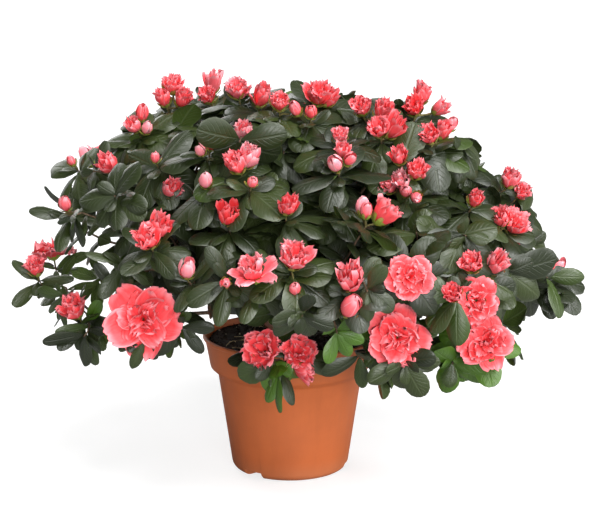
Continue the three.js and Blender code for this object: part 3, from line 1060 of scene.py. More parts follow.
    def grouped(self, mass):
        """The mass's shoots in small groups that lie near each other."""
        tips = np.array([shoot.tip for shoot in mass.shoots])
        count = max(1, math.ceil(len(tips) / SHOOTS_PER_FORK))
        middles = [tips[0]]
        while len(middles) < count:
            gaps = np.min([np.linalg.norm(tips - middle, axis=1) for middle in middles], axis=0)
            middles.append(tips[gaps.argmax()])
        for _ in range(6):
            gaps = np.array([np.linalg.norm(tips - middle, axis=1) for middle in middles])
            owner = gaps.argmin(axis=0)
            middles = [
                tips[owner == index].mean(axis=0) if (owner == index).any() else middle
                for index, middle in enumerate(middles)
            ]
        groups = [
            [shoot for shoot, own in zip(mass.shoots, owner) if own == index]
            for index in range(count)
        ]
        return [(middle, group) for middle, group in zip(middles, groups) if group]

    def branch_into(self, mass):
        """Grows limbs on from the anchor to a fork for each group, and a twig to each shoot."""
        if not mass.shoots:
            return
        start, heading, radius = self.anchor_of(mass)
        radius = min(radius, self.branches.fork_radius * 1.3)
        for middle, group in self.grouped(mass):
            span = middle - start
            fork = start + span * 0.52 + self.rng.normal(0, 3 * MM, 3)
            reach = np.linalg.norm(fork - start)
            line = bent_line(start, heading * reach * 0.35, fork, unit(span) * reach * 0.35, 7)
            self.lines.append((line, np.linspace(radius, radius * 0.72, 7)))
            for shoot in group:
                gap = np.linalg.norm(shoot.tip - fork)
                pull = unit(span + self.rng.normal(0, 0.1, 3) * np.linalg.norm(span)) * gap * 0.3
                twig = bent_line(fork, pull, shoot.tip, shoot.direction * gap * 0.42, 8)
                twig[1:-1] += self.rng.normal(0, 0.9 * MM, (6, 3))
                radii = np.linspace(radius * 0.66, self.branches.tip_radius, 8)
                self.lines.append((twig, radii))
                shoot.twig = twig


_growth = []


def growth():
    """The growth is planned on first use and shared by the operators."""
    if not _growth:
        scene = bpy.context.scene
        _growth.append(Growth(scene.azalea_branches, scene.azalea_blossom, scene.azalea_stage))
    return _growth[0]


# ---------------------------------------------------------------- pot

def pot_profile(notch, wall):
    """The pot's section from the middle of its underside round to the middle of its floor.

    notch is how open the drainage notch is at this angle, from 0 to 1.
    """
    height = POT_HIGH.z
    lip = POT_HIGH.x
    base = lip - 24.4 * MM
    corner = 7.5 * MM
    notch_height = 6 * MM * notch
    outer = [(0.0, 0.0), (0.02, 0.0), (0.0325, 0.0), (0.0335, notch_height), (0.039, notch_height)]
    for step in range(7):
        angle = math.radians(-90 + step * 13.5)
        radius = base - corner + corner * math.cos(angle)
        outer.append((radius, max(corner + corner * math.sin(angle), notch_height)))
    band_foot = 92 * MM
    outer += [
        (lip - 18.8 * MM, 45 * MM), (lip - 12.9 * MM, 84.6 * MM), (lip - 12.2 * MM, 86 * MM),
        (lip - 9.0 * MM, 88.6 * MM), (lip - 6.6 * MM, band_foot - 1.2 * MM),
        (lip - 6.0 * MM, band_foot + 0.8 * MM), (lip - 4 * MM, 104 * MM),
        (lip - 2.1 * MM, height - 4.4 * MM), (lip - 1.5 * MM, height - 3.4 * MM),
        (lip - 0.35 * MM, height - 2.6 * MM), (lip, height - 1.9 * MM), (lip, height - 0.9 * MM),
        (lip - 0.4 * MM, height - 0.2 * MM), (lip - 1.1 * MM, height),
    ]
    inner = [
        (lip - 2.6 * MM, height), (lip - 3.3 * MM, height - 0.3 * MM), (lip - 3.6 * MM, height - 1.0 * MM),
        (lip - 2.0 * MM - wall, height - 3 * MM), (lip - 6 * MM - wall, band_foot),
        (lip - 12.8 * MM - wall, 84.5 * MM), (base - wall, 9 * MM), (base - corner, 8.7 * MM),
        (0.0305, 8.7 * MM), (0.0295, 2.6 * MM), (0.0, 2.6 * MM),
    ]
    return outer + inner


# The middles of the three drainage notches round the pot, half of a notch's width at its foot,
# and how much of that each of its steep sides takes up, all in degrees.
NOTCHES = (-10, 110, 230)
NOTCH_HALF = 11.6
NOTCH_SIDE = 1.2


def notch_share(angle):
    """How open a drainage notch is at an angle round the pot."""
    turn = (math.degrees(angle) - NOTCHES[0] + 60) % 120 - 60
    return min(max((NOTCH_HALF - abs(turn)) / NOTCH_SIDE, 0.0), 1.0)


def pot_angles():
    """Angles round the pot, closer together at the sides of the notches."""
    angles = set(np.round(np.linspace(0, 360, 144, endpoint=False), 3))
    for middle in NOTCHES:
        for step in (0, 0.5, 1):
            side = NOTCH_HALF - NOTCH_SIDE * step
            for edge in (-side, side):
                angles.add(round((middle + edge) % 360, 3))
    return [math.radians(angle) for angle in sorted(angles)]


def pot_mesh(wall):
    angles = pot_angles()
    rings = [pot_profile(notch_share(angle), wall) for angle in angles]
    count = len(rings[0])
    points = [(0.0, 0.0, rings[0][0][1]), (0.0, 0.0, rings[0][-1][1])]
    for angle, ring in zip(angles, rings):
        for radius, height in ring[1:-1]:
            points.append((radius * math.cos(angle), radius * math.sin(angle), height))
    inner = count - 2
    faces = []
    for index in range(len(angles)):
        here = 2 + index * inner
        there = 2 + (index + 1) % len(angles) * inner
        faces.append((0, there, here))
        faces.append((1, here + inner - 1, there + inner - 1))
        for step in range(inner - 1):
            faces.append((here + step, there + step, there + step + 1, here + step + 1))
    mesh = bpy.data.meshes.new("pot")
    mesh.from_pydata(points, [], faces)
    return mesh


class AZALEA_OT_pot(bpy.types.Operator):
    """Make the pot with its rim band, rounded foot and drainage notches"""

    bl_idname = "azalea.pot"
    bl_label = "Pot"

    def execute(self, context):
        settings = context.scene.azalea_pot
        pot = add_object("pot_shell", pot_mesh(settings.wall))
        pot.data.polygons.foreach_set("use_smooth", [True] * len(pot.data.polygons))
        pot.data.set_sharp_from_angle(angle=math.radians(38))
        pot.data.materials.append(pot_material(settings.clay))
        add_piece(pot, ["pot"])
        return {"FINISHED"}


# ---------------------------------------------------------------- soil

# How far the soil is heaped above its solid.
SOIL_HEAP = 3.6 * MM
# The share of the crumbs that are dark.
DARK_CRUMBS = 0.975


def soil_bed_tree(material):
    """Roughens the upper side of the soil and heaps it a little."""
    sizes = {"Roughness": 1.3 * MM, "Grain": 95.0, "Heap": SOIL_HEAP}
    maker = GeometryMaker("soil bed", sizes)
    fine = maker.node("GeometryNodeSubdivideMesh", {"Mesh": maker.geometry, "Level": 3})
    place = maker.position()
    _, _, height = maker.separate(place)
    near_top = maker.smooth_step(height, SOIL_HIGH.z - 9 * MM, SOIL_HIGH.z - 5 * MM)
    bumps = maker.noise(place, maker.size("Grain"), 3.0, 0.6) - 0.5
    lift = (bumps * maker.size("Roughness") * 2.6 + maker.size("Heap")) * near_top
    moved = maker.node(
        "GeometryNodeSetPosition", {"Geometry": fine, "Offset": maker.combine(0.0, 0.0, lift)}
    )
    maker.finish(maker.material(moved, material))
    return maker


def crumb_tree(size, density, material, pale_material):
    """Scatters lumps of soil on a mesh, a few of them pale, so many to the square metre."""
    sizes = {"Crumb": size, "Density": float(density), "Seed": 3, "Heap": SOIL_HEAP}
    maker = GeometryMaker("soil crumbs", sizes)
    spread = maker.node(
        "GeometryNodeDistributePointsOnFaces",
        {"Mesh": maker.geometry, "Density": maker.size("Density"), "Seed": maker.size("Seed")},
    )
    lump = maker.node("GeometryNodeMeshIcoSphere", {"Radius": 1.0, "Subdivisions": 2})
    dent = maker.noise(maker.position(), 1.6, 2.0)
    lump = maker.node(
        "GeometryNodeSetPosition",
        {"Geometry": lump, "Offset": maker.position() * (dent - 0.5) * 1.2},
    )
    spread = maker.node(
        "GeometryNodeSetPosition",
        {"Geometry": spread, "Offset": maker.combine(0.0, 0.0, maker.size("Heap"))},
    )
    turn = maker.random((0, 0, 0), (FULL_TURN, FULL_TURN, FULL_TURN), 5)
    scale = maker.random((0.35, 0.3, 0.3), (1.7, 1.2, 1.0), 6)
    placed = maker.node(
        "GeometryNodeInstanceOnPoints",
        {"Points": spread, "Instance": lump, "Rotation": turn, "Scale": scale * maker.size("Crumb")},
    )
    chance = maker.random(0.0, 1.0, 9)
    marked = maker.store(placed, "pale", chance, "FLOAT", "INSTANCE")
    solid = maker.node("GeometryNodeRealizeInstances", {"Geometry": marked})
    dark = maker.material(solid, material)
    is_pale = maker.node(
        "FunctionNodeCompare",
        {"A": maker.number("pale"), "B": DARK_CRUMBS},
        operation="GREATER_THAN",
    )
    maker.finish(maker.material(dark, pale_material, is_pale))
    return maker


def soil_top_source(name):
    """The upper side of the soil's solid, as a mesh to scatter crumbs on."""
    points, corners = node_arrays("soil")
    kept = [
        tuple(int(corner) for corner in triangle)
        for triangle in corners
        if min(points[corner][2] for corner in triangle) > SOIL_HIGH.z - 7 * MM
    ]
    mesh = bpy.data.meshes.new(name)
    mesh.from_pydata([tuple(point) for point in points], [], kept)
    return add_object(name, mesh)


class AZALEA_OT_soil(bpy.types.Operator):
    """Make the moist soil with its crumbs and straws"""

    bl_idname = "azalea.soil"
    bl_label = "Soil"

    def execute(self, context):
        settings = context.scene.azalea_pot
        dark = soil_material("moist peat", settings.soil)
        points, corners = node_arrays("soil")
        mesh = bpy.data.meshes.new("soil source")
        mesh.from_pydata(points.tolist(), [], corners.tolist())
        mesh.validate()
        source = add_object("soil source", mesh)
        weld = source.modifiers.new("weld", "WELD")
        weld.merge_threshold = 0.01 * MM
        add_piece(soil_bed_tree(dark).apply_to(source, "soil_bed"), ["soil"])
        area = math.pi * SOIL_HIGH.x**2
        pale = soil_material("pale grit", tone(150, 142, 124))
        crumbs = crumb_tree(settings.crumb, settings.crumbs / area, dark, pale)
        add_piece(crumbs.apply_to(soil_top_source("crumb source"), "soil_crumbs"))
        self.add_straws()
        return {"FINISHED"}

    def add_straws(self):
        rng = np.random.RandomState(12)
        lines = []
        for _ in range(26):
            turn = rng.uniform(0, 2 * math.pi)
            reach = rng.uniform(0.03, 0.062)
            middle = np.array([math.cos(turn) * reach, math.sin(turn) * reach, SOIL_HIGH.z + 4 * MM])
            along = unit(rng.normal(0, 1, 3) * np.array([1, 1, 0.12]))
            half = rng.uniform(4, 11) * MM
            rise = UP * rng.uniform(1, 5) * MM
            fall = -UP * rng.uniform(0, 3) * MM
            arch = bent_line(middle - along * half, rise, middle + along * half, fall, 6)
            lines.append((arch, np.full(6, rng.uniform(0.2, 0.42) * MM)))
        add_piece(rods("soil_straws", lines, 5, 0.0, straw_material()))


# ---------------------------------------------------------------- wood

def rods(name, lines, sides, relief, material, step=None):
    """Round rods along lines of points, each point with its radius.

    relief roughens their sides, and step sets how far apart their rings stand.
    """
    points, edges, radii = [], [], []
    for line, widths in lines:
        start = len(points)
        points.extend(line)
        radii.extend(widths)
        edges.extend((start + index, start + index + 1) for index in range(len(line) - 1))
    source = add_points(name + " lines", points, edges, thickness=radii)
    maker = GeometryMaker(name, {"Sides": sides, "Relief": relief, "Step": step or 1.0})
    curve = maker.node("GeometryNodeMeshToCurve", {"Mesh": maker.geometry})
    width = maker.number("thickness")
    curve = maker.node("GeometryNodeSetCurveRadius", {"Curve": curve, "Radius": width})
    if step:
        curve = maker.node("GeometryNodeCurveSplineType", {"Curve": curve}, spline_type="CATMULL_ROM")
        curve = maker.node(
            "GeometryNodeResampleCurve",
            {"Curve": curve, "Length": maker.size("Step")},
            mode="LENGTH",
        )
    ring = maker.node(
        "GeometryNodeCurvePrimitiveCircle", {"Resolution": maker.size("Sides"), "Radius": 1.0}
    )
    radius = maker.node("GeometryNodeInputRadius")
    inputs = {"Curve": curve, "Profile Curve": ring, "Scale": radius, "Fill Caps": True}
    mesh = maker.node("GeometryNodeCurveToMesh", inputs)
    if relief:
        place = maker.position()
        ridges = maker.noise(maker.maths("MULTIPLY", place, (1.0, 1.0, 0.4)), 330.0, 3.0, 0.6)
        knots = maker.noise(place, 85.0, 2.0, 0.5)
        amount = (ridges * 0.7 + knots * 0.9 - 0.8) * maker.size("Relief")
        normal = maker.node("GeometryNodeInputNormal")
        mesh = maker.node("GeometryNodeSetPosition", {"Geometry": mesh, "Offset": normal * amount})
    realized = maker.node("GeometryNodeRealizeInstances", {"Geometry": mesh})
    maker.finish(maker.material(realized, material))
    return maker.apply_to(source, name)


class AZALEA_OT_wood(bpy.types.Operator):
    """Make the stem and the boughs with the relief of their bark"""

    bl_idname = "azalea.wood"
    bl_label = "Stem and boughs"

    def execute(self, context):
        colour = context.scene.azalea_branches.bark
        line, radii = trace_limb("stem", 9)
        line[:, 2] = np.clip(line[:, 2], STEM_LOW.z, None)
        line[0] = (line[1][0], line[1][1], STEM_LOW.z - 0.3 * MM)
        bark = bark_material("stem bark", colour, 1.0)
        stem = rods("stem_bark", [(line, radii)], 26, 1.7 * MM, bark, 1.3 * MM)
        add_piece(stem, ["stem"])
        limbs = [growth().limbs[name] for name in LIMB_NODES]
        bark = bark_material("bough bark", colour, 1.6)
        boughs = rods("bough_bark", limbs, 12, 0.7 * MM, bark, 2.2 * MM)
        add_piece(boughs, LIMB_NODES)
        return {"FINISHED"}


class AZALEA_OT_twigs(bpy.types.Operator):
    """Grow the twigs from the ends of the boughs to the shoots"""

    bl_idname = "azalea.twigs"
    bl_label = "Twigs"

    def execute(self, context):
        settings = context.scene.azalea_branches
        wood = bark_material("twig bark", settings.bark, 2.4)
        add_piece(rods("twigs", growth().lines, 6, 0.25 * MM, wood))
        stalks = []
        for shoot in growth().shoots:
            for _, foot, axis, _ in shoot.blooms:
                gap = max(np.linalg.norm(foot - shoot.tip), 2 * MM)
                line = bent_line(
                    shoot.tip, shoot.direction * gap * 0.4, foot + axis * MM, axis * gap * 0.4, 5
                )
                stalks.append((line, np.linspace(0.75, 0.95, 5) * MM))
        green = bark_material("green stalk", settings.green_wood, 2.4)
        add_piece(rods("flower_stalks", stalks, 6, 0.0, green))
        return {"FINISHED"}


# ---------------------------------------------------------------- leaves

# Where the rows of a leaf's blade lie along it.
LEAF_ROWS = (0.0, 0.13, 0.32, 0.52, 0.7, 0.85, 0.95, 1.0)


def blade_source(name, rows, columns):
    """A closed unit blade, whose upper and under sides share their edge.

    Its points know how far they lie across (-1 to 1) and along (0 to 1), and on which side.
    """
    across, along, side = [], [], []
    index = {}
    for layer in (1, -1):
        for row, share in enumerate(rows):
            for column in range(columns):
                on_edge = row in (0, len(rows) - 1) or column in (0, columns - 1)
                if layer == -1 and on_edge:
                    index[layer, row, column] = index[1, row, column]
                    continue
                index[layer, row, column] = len(across)
                across.append(2 * column / (columns - 1) - 1)
                along.append(share)
                side.append(0.0 if on_edge else float(layer))
    faces, upper = [], []
    for layer in (1, -1):
        for row in range(len(rows) - 1):
            for column in range(columns - 1):
                corners = [(row, column), (row, column + 1), (row + 1, column + 1), (row + 1, column)]
                if layer == -1:
                    corners[1], corners[3] = corners[3], corners[1]
                faces.append([index[(layer, *corner)] for corner in corners])
                upper.append(float(layer))
    mesh = bpy.data.meshes.new(name)
    mesh.from_pydata([(a * 0.01, b * 0.01, 0.0) for a, b in zip(across, along)], [], faces)
    for key, values in (("across", across), ("along_share", along), ("side", side)):
        mesh.attributes.new(key, "FLOAT", "POINT").data.foreach_set("value", values)
    mesh.attributes.new("upper", "FLOAT", "FACE").data.foreach_set("value", upper)
    for edge in mesh.edges:
        first, second = edge.vertices
        if side[first] == side[second] == 0.0:
            edge.use_edge_sharp = True
    return add_object(name, mesh)


def blades_on_points(maker, blade):
    """Puts one blade at each point, and gives the joined mesh."""
    marked = maker.store(maker.geometry, "root", maker.position(), "FLOAT_VECTOR")
    shape = maker.node("GeometryNodeObjectInfo", {"Object": blade}, output="Geometry")
    placed = maker.node("GeometryNodeInstanceOnPoints", {"Points": marked, "Instance": shape})
    return maker.node("GeometryNodeRealizeInstances", {"Geometry": placed})


# How many tiles the second map of the blades has along each side, and the gap round each tile.
TILES = 3
TILE_GAP = 0.08


def add_maps(maker, mesh):
    """Gives each blade its own map, and a second one with a tile for each material to bake into."""
    u = maker.number("across") * 0.5 + 0.5
    v = maker.number("along_share")
    mapped = maker.store(mesh, "leaf", maker.combine(u, v, 0.0), "FLOAT2", "CORNER")
    index = maker.number("tile")
    row = maker.maths("FLOOR", (index + 0.01) / TILES)
    column = index - row * TILES
    tile_u = (column + TILE_GAP + u * (1 - 2 * TILE_GAP)) / TILES
    tile_v = (row + TILE_GAP + v * (1 - 2 * TILE_GAP)) / TILES
    return maker.store(mapped, "OFBake", maker.combine(tile_u, tile_v, 0.0), "FLOAT2", "CORNER")


def leaf_tree(blade, thickness, upper, under):
    """Bends, cups and waves each leaf by its own numbers."""
    maker = GeometryMaker("leaf sprays", {"Thickness": thickness})
    mesh = blades_on_points(maker, blade)
    across, along = maker.number("across"), maker.number("along_share")
    axis, face = maker.vector("axis"), maker.vector("face")
    length, width = maker.number("length"), maker.number("width")
    sideways = maker.maths("CROSS_PRODUCT", axis, face)
    from_widest = along - 0.6
    to_foot = maker.maths("MAXIMUM", from_widest / -0.62, 0.0) ** 1.65
    to_tip = maker.maths("MAXIMUM", from_widest / 0.41, 0.0) ** 2.0
    outline = (1.0 - to_foot) * maker.maths("SQRT", 1.0 - to_tip)
    angle = maker.number("bend") * along
    bend = maker.number("bend")
    ahead = maker.maths("SINE", angle) / bend * length
    drop = (1.0 - maker.maths("COSINE", angle)) / bend * length
    spread = maker.maths("ABSOLUTE", across)
    swell = maker.maths("SINE", spread * math.pi) * outline * width * 0.07
    curl = maker.number("cup") * (spread**2.0) * outline * width
    ripple = maker.maths("SINE", along * 9.0 + maker.number("phase")) * (spread**2.0) * width * 0.045
    bulge = swell - curl + ripple + maker.number("side") * maker.size("Thickness") * 0.5
    local_up = face * maker.maths("COSINE", angle) + axis * maker.maths("SINE", angle)
    place = (
        maker.vector("root")
        + axis * ahead
        - face * drop
        + sideways * (across * outline * width * 0.5)
        + local_up * bulge
    )
    mesh = maker.node("GeometryNodeSetPosition", {"Geometry": mesh, "Position": place})
    is_upper = maker.equals(maker.number("upper"), 1.0)
    is_under = maker.equals(maker.number("upper"), -1.0)
    tone_number = maker.number("tone")
    fold = maker.maths("MODULO", tone_number, 2.0)
    under_tile = fold + float(len(upper))
    is_top = (maker.number("upper") + 1.0) * 0.5
    tile = tone_number * is_top + under_tile * (1.0 - is_top)
    mesh = maker.store(mesh, "tile", tile, "FLOAT", "FACE")
    mesh = maker.material(add_maps(maker, mesh), upper[0])
    for index, material in enumerate(upper):
        chosen = maker.both(is_upper, maker.equals(tone_number, float(index)))
        mesh = maker.material(mesh, material, chosen)
    for index, material in enumerate(under):
        chosen = maker.both(is_under, maker.equals(fold, float(index)))
        mesh = maker.material(mesh, material, chosen)
    maker.finish(mesh)
    return maker


class LeafList:
    """The numbers of many leaves, gathered for one node tree."""

    def __init__(self):
        self.roots = []
        self.columns = {
            key: [] for key in ("axis", "face", "length", "width", "bend", "cup", "phase", "tone")
        }

    def add(self, root, axis, face, **numbers):
        self.roots.append(root)
        values = {"axis": axis, "face": square_to(face, axis), **numbers}
        for key, value in values.items():
            self.columns[key].append(value)


def add_leaf(leaves, rng, root, axis, face, length, width_share, tones):
    roll = rng.normal(0, 0.22)
    bend = rng.uniform(0.15, 0.75)
    lowered = unit(axis - square_to(face, axis) * bend * 0.5)
    if not growth().keeps_clear(root + lowered * length * np.array([[0.35], [0.7], [1.0]])):
        return
    if not growth().under_outline(root + lowered * length, LEAF_MARGIN):
        return
    turned = square_to(face, axis)
    turned = turned * math.cos(roll) + np.cross(axis, turned) * math.sin(roll)
    leaves.add(
        root,
        axis,
        turned,
        length=length,
        width=length * width_share * rng.uniform(0.88, 1.12),
        bend=bend,
        cup=rng.uniform(0.02, 0.2),
        phase=rng.uniform(0, FULL_TURN),
        tone=float(rng.choice(len(LEAF_TONES), p=tones)),
    )


# How likely each leaf tone is to colour a spray high and low in the crown, in the order of
# LEAF_TONES. The high ones hold above LOW_SHOOTS, and the low ones a stretch below it. The low ones
# favour the yellow-greener olive and fresh tones: partly young leaves, partly painted light shining
# through the low leaves.
HIGH_TONES = [0.43, 0.27, 0.25, 0.05, 0.0]
LOW_TONES = [0.16, 0.16, 0.1, 0.38, 0.2]
TONES_OVER = 0.09
# The share of a spray's leaves that surely have its favourite tone.
FAVOURITE_SHARE = 0.65


def spray_tones(shoot, rng):
    """How likely each leaf tone is on a shoot: yellow-greener low down, partly young leaves and partly
    painted light shining through, and here and there above.
    """
    low = min(max((LOW_SHOOTS - shoot.tip[2]) / TONES_OVER, 0.0), 1.0)
    weights = np.array(HIGH_TONES) * (1 - low) + np.array(LOW_TONES) * low
    favourite = rng.choice(len(weights), p=weights)
    if shoot.tone is not None:
        favourite = list(LEAF_TONES).index(shoot.tone)
    weights *= 1 - FAVOURITE_SHARE
    weights[favourite] += FAVOURITE_SHARE
    return weights / weights.sum()


# How much narrower and shorter leaves are where the foliage is thin, as shares.
NARROWING_LEFT = 0.36
NARROWING_RIGHT = 0.12
SHORTENING = 0.14
# The width of the leaves of a tuft whose leaves are counted, over the usual width.
COUNTED_WIDTH = 0.8


def grow_leaves(shoot, leaves, rng, settings):
    """A whorl of leaves round a shoot's tip, smaller ones above it, and a few down its twig."""
    tones = spray_tones(shoot, rng)
    first, second = across_pair(shoot.direction)
    towards_light = shoot.outward * 0.45 + UP * 0.25
    size = settings.length * shoot.leaf_size * (1 - SHORTENING * shoot.thinness)
    usual_count = rng.randint(5, 8) - round(2 * shoot.thinness)
    start = rng.uniform(0, FULL_TURN)
    narrowing = NARROWING_LEFT if shoot.tip[0] < 0 else NARROWING_RIGHT
    slim = settings.slimness * (1 - narrowing * shoot.thinness)
    rings = [(shoot.leaf_count or usual_count, shoot.spread, 1.0, 0.0)]
    if shoot.leaf_count:
        slim *= COUNTED_WIDTH
    else:
        rings.append((3, 48, 0.55, 0.5))
    for number, spread, share, offset in rings:
        for index in range(number):
            turn = start + offset + 2 * math.pi * index / number + rng.normal(0, 0.16)
            lean = math.radians(rng.normal(spread, 11))
            outward = first * math.cos(turn) + second * math.sin(turn)
            axis = shoot.direction * math.cos(lean) + outward * math.sin(lean)
            axis = unit(axis - UP * rng.uniform(0.05, 0.4))
            face = shoot.direction * 0.8 + towards_light
            root = shoot.tip + outward * 1.2 * MM - shoot.direction * rng.uniform(0, 4) * MM
            length = size * share * rng.uniform(0.86, 1.14)
            add_leaf(leaves, rng, root, axis, face, length, slim, tones)
    down = 0 if shoot.leaf_count else 3 if shoot.inner else 4 + round(3 * shoot.thinness)
    for index in range(down):
        share = 0.93 - 0.11 * index - rng.uniform(0, 0.05)
        place = share * (len(shoot.twig) - 1)
        lower = int(place)
        rest = place - lower
        root = shoot.twig[lower] * (1 - rest) + shoot.twig[lower + 1] * rest
        along = unit(shoot.twig[lower + 1] - shoot.twig[lower])
        side_one, side_two = across_pair(along)
        turn = start + 2.4 * (index + 1)
        outward = side_one * math.cos(turn) + side_two * math.sin(turn)
        axis = unit(along * 0.55 + outward - UP * 0.1)
        face = along * 0.5 + shoot.outward * 0.5 + UP * 0.35
        length = size * rng.uniform(0.72, 1.0)
        add_leaf(leaves, rng, root, axis, face, length, slim, tones)


# The masses whose leaves each piece holds, by how their names start.
LEAF_PIECES = {
    "leaves_top": ("foliage_top", "foliage_upper"),
    "leaves_front": ("foliage_lower_1", "foliage_lower_2", "foliage_lower_7"),
    "leaves_back": ("foliage_lower_3", "foliage_lower_4", "foliage_lower_5", "foliage_lower_6"),
    "leaves_sprays": ("spray_",),
}


class AZALEA_OT_leaves(bpy.types.Operator):
    """Grow the leaves on every shoot"""

    bl_idname = "azalea.leaves"
    bl_label = "Leaves"

    def execute(self, context):
        settings = context.scene.azalea_leaves
        upper, under = leaf_materials()
        blade = blade_source("leaf blade", LEAF_ROWS, 5)
        rng = np.random.RandomState(5)
        for name, prefixes in LEAF_PIECES.items():
            masses = [mass for mass in growth().masses if mass.name.startswith(prefixes)]
            leaves = LeafList()
            for mass in masses:
                for shoot in mass.shoots:
                    grow_leaves(shoot, leaves, rng, settings)
            source = add_points(name + " roots", leaves.roots, **leaves.columns)
            maker = leaf_tree(blade, settings.thickness, upper, under)
            piece = maker.apply_to(source, name, kept=("leaf", "OFBake"))
            add_piece(piece, [mass.name for mass in masses])
        bpy.data.objects.remove(blade)
        return {"FINISHED"}


# ---------------------------------------------------------------- blossom

# Rings of petals for each kind of bloom, from the outside in. Each has its count, the petals'
# length and width over the bloom's width, the angle from the axis at their foot, how far they
# turn outwards on the way to their tip, in degrees, and how ruffled they are.
BLOOM_RINGS = {
    "open": [
        (5, 0.55, 0.72, 54, 36, 0.7), (5, 0.46, 0.62, 44, 24, 1.0), (4, 0.37, 0.44, 31, 12, 1.5),
        (3, 0.29, 0.34, 16, 6, 1.9),
    ],
    "cup": [
        (5, 0.68, 0.84, 58, -10, 0.8), (4, 0.57, 0.68, 43, -8, 1.0), (3, 0.45, 0.46, 25, -6, 1.3),
    ],
    "flared": [
        (5, 0.62, 0.5, 36, 46, 0.8), (5, 0.52, 0.46, 40, -22, 1.2), (4, 0.48, 0.36, 24, -12, 1.5),
        (3, 0.44, 0.26, 8, 4, 1.8),
    ],
    "half": [
        (5, 0.84, 0.64, 50, -32, 1.0), (5, 0.83, 0.55, 38, -20, 1.3), (4, 0.82, 0.42, 23, -8, 1.6),
        (3, 0.79, 0.32, 9, 4, 1.8),
    ],
    "young": [
        (4, 1.26, 0.86, 50, -52, 1.1), (4, 1.34, 0.74, 38, -40, 1.4), (3, 1.36, 0.56, 22, -20, 1.6),
        (2, 1.34, 0.42, 8, -5, 1.7),
    ],
    "bud": [(4, 1.95, 1.05, 54, -96, 0.12), (3, 1.95, 1.0, 48, -92, 0.15)],
}
# The width that a bloom is built with over its stated one, which its petals reach past.
PETAL_REACH = 0.94
# The ring of green scales, told like the petals but over its own size, and that size: a share of
# the bloom's width and a little more, up to a limit.
SEPAL_RING = (6, 1.0, 0.42, 64, -46, 0.3)
SEPAL_SHARE = 0.45
SEPAL_MORE = 4 * MM
SEPAL_LIMIT = 12.5 * MM
# The kinds in each piece of blossom, and the rows and columns of their petals.
PETAL_PIECES = {
    "blossom_open": (("open", "cup", "flared"), (0.0, 0.14, 0.3, 0.45, 0.6, 0.73, 0.85, 0.94, 1.0), 15),
    "blossom_half": (("half",), (0.0, 0.16, 0.36, 0.55, 0.72, 0.88, 1.0), 11),
    "blossom_buds": (("young", "bud"), (0.0, 0.18, 0.4, 0.62, 0.84, 1.0), 7),
}
# How likely each petal tone is for each kind of bloom. The deep tone, painted shade, falls at random
# on a few half-open blooms and young buds.
PETAL_CHOICE = {
    "open": {"coral": 1.0},
    "cup": {"coral": 1.0},
    "flared": {"coral": 0.8, "rose": 0.2},
    "half": {"coral": 0.62, "rose": 0.32, "deep": 0.06},
    "young": {"coral": 0.5, "rose": 0.34, "deep": 0.08, "pale": 0.08},
    "bud": {"coral": 0.15, "rose": 0.4, "pale": 0.45},
}


def petal_tree(blade, thickness, materials):
    """Wraps each petal round its bloom's axis, turns it outwards and ruffles it."""
    maker = GeometryMaker("petals", {"Thickness": thickness})
    mesh = blades_on_points(maker, blade)
    across, along = maker.number("across"), maker.number("along_share")
    axis, out = maker.vector("axis"), maker.vector("face")
    length, width = maker.number("length"), maker.number("width")
    start, turn = maker.number("start"), maker.number("turn")
    phase, ruffle = maker.number("phase"), maker.number("ruffle")
    sideways = maker.maths("CROSS_PRODUCT", axis, out)
    angle = start + turn * along
    reach = (maker.maths("COSINE", start) - maker.maths("COSINE", angle)) / turn * length
    rise = (maker.maths("SINE", angle) - maker.maths("SINE", start)) / turn * length
    from_widest = along - 0.64
    slope = maker.maths("MAXIMUM", from_widest / -0.70, from_widest / 0.405)
    outline = maker.maths("SQRT", maker.maths("MAXIMUM", 1.0 - slope * slope, 0.02))
    softly = maker.maths("MINIMUM", ruffle, 1.1)
    margin_place = maker.combine(across * 2.9, along * 2.4, 0.0)
    frayed = maker.noise(margin_place, 1.0, 1.0, 0.6, phase * 3.0) - 0.5
    shorten = 1.0 + frayed * (along**4.0) * softly * 0.36
    outline = outline * (1.0 + frayed * softly * 0.5)
    radius = reach * shorten + 0.9 * MM
    swing = across * outline * width * 0.5 / (radius + width * 0.1)
    swing = maker.maths("MINIMUM", maker.maths("MAXIMUM", swing, -1.9), 1.9)
    chart = maker.combine(across * 1.3, along * 1.5, 0.0)
    broad = maker.noise(chart, 1.0, 0.0, 0.5, phase * 7.0) - 0.5
    fine = maker.noise(chart, 3.1, 1.0, 0.6, phase * 11.0) - 0.5
    margin = maker.maths("MAXIMUM", maker.maths("ABSOLUTE", across) ** 1.5, along**3.0)
    folds = (broad * 0.5 + fine * margin * 0.72) * (along**1.3)
    inward = axis * maker.maths("SINE", angle) - out * maker.maths("COSINE", angle)
    lift = folds * ruffle * width + maker.number("side") * maker.size("Thickness") * 0.5
    ring = out * maker.maths("COSINE", swing) + sideways * maker.maths("SINE", swing)
    place = maker.vector("root") + axis * (rise * shorten) + ring * radius + inward * lift
    mesh = maker.node("GeometryNodeSetPosition", {"Geometry": mesh, "Position": place})
    tone_number = maker.number("tone")
    mesh = maker.store(mesh, "tile", tone_number, "FLOAT", "FACE")
    mesh = maker.material(add_maps(maker, mesh), materials[0])
    for index, material in enumerate(materials):
        mesh = maker.material(mesh, material, maker.equals(tone_number, float(index)))
    maker.finish(mesh)
    return maker


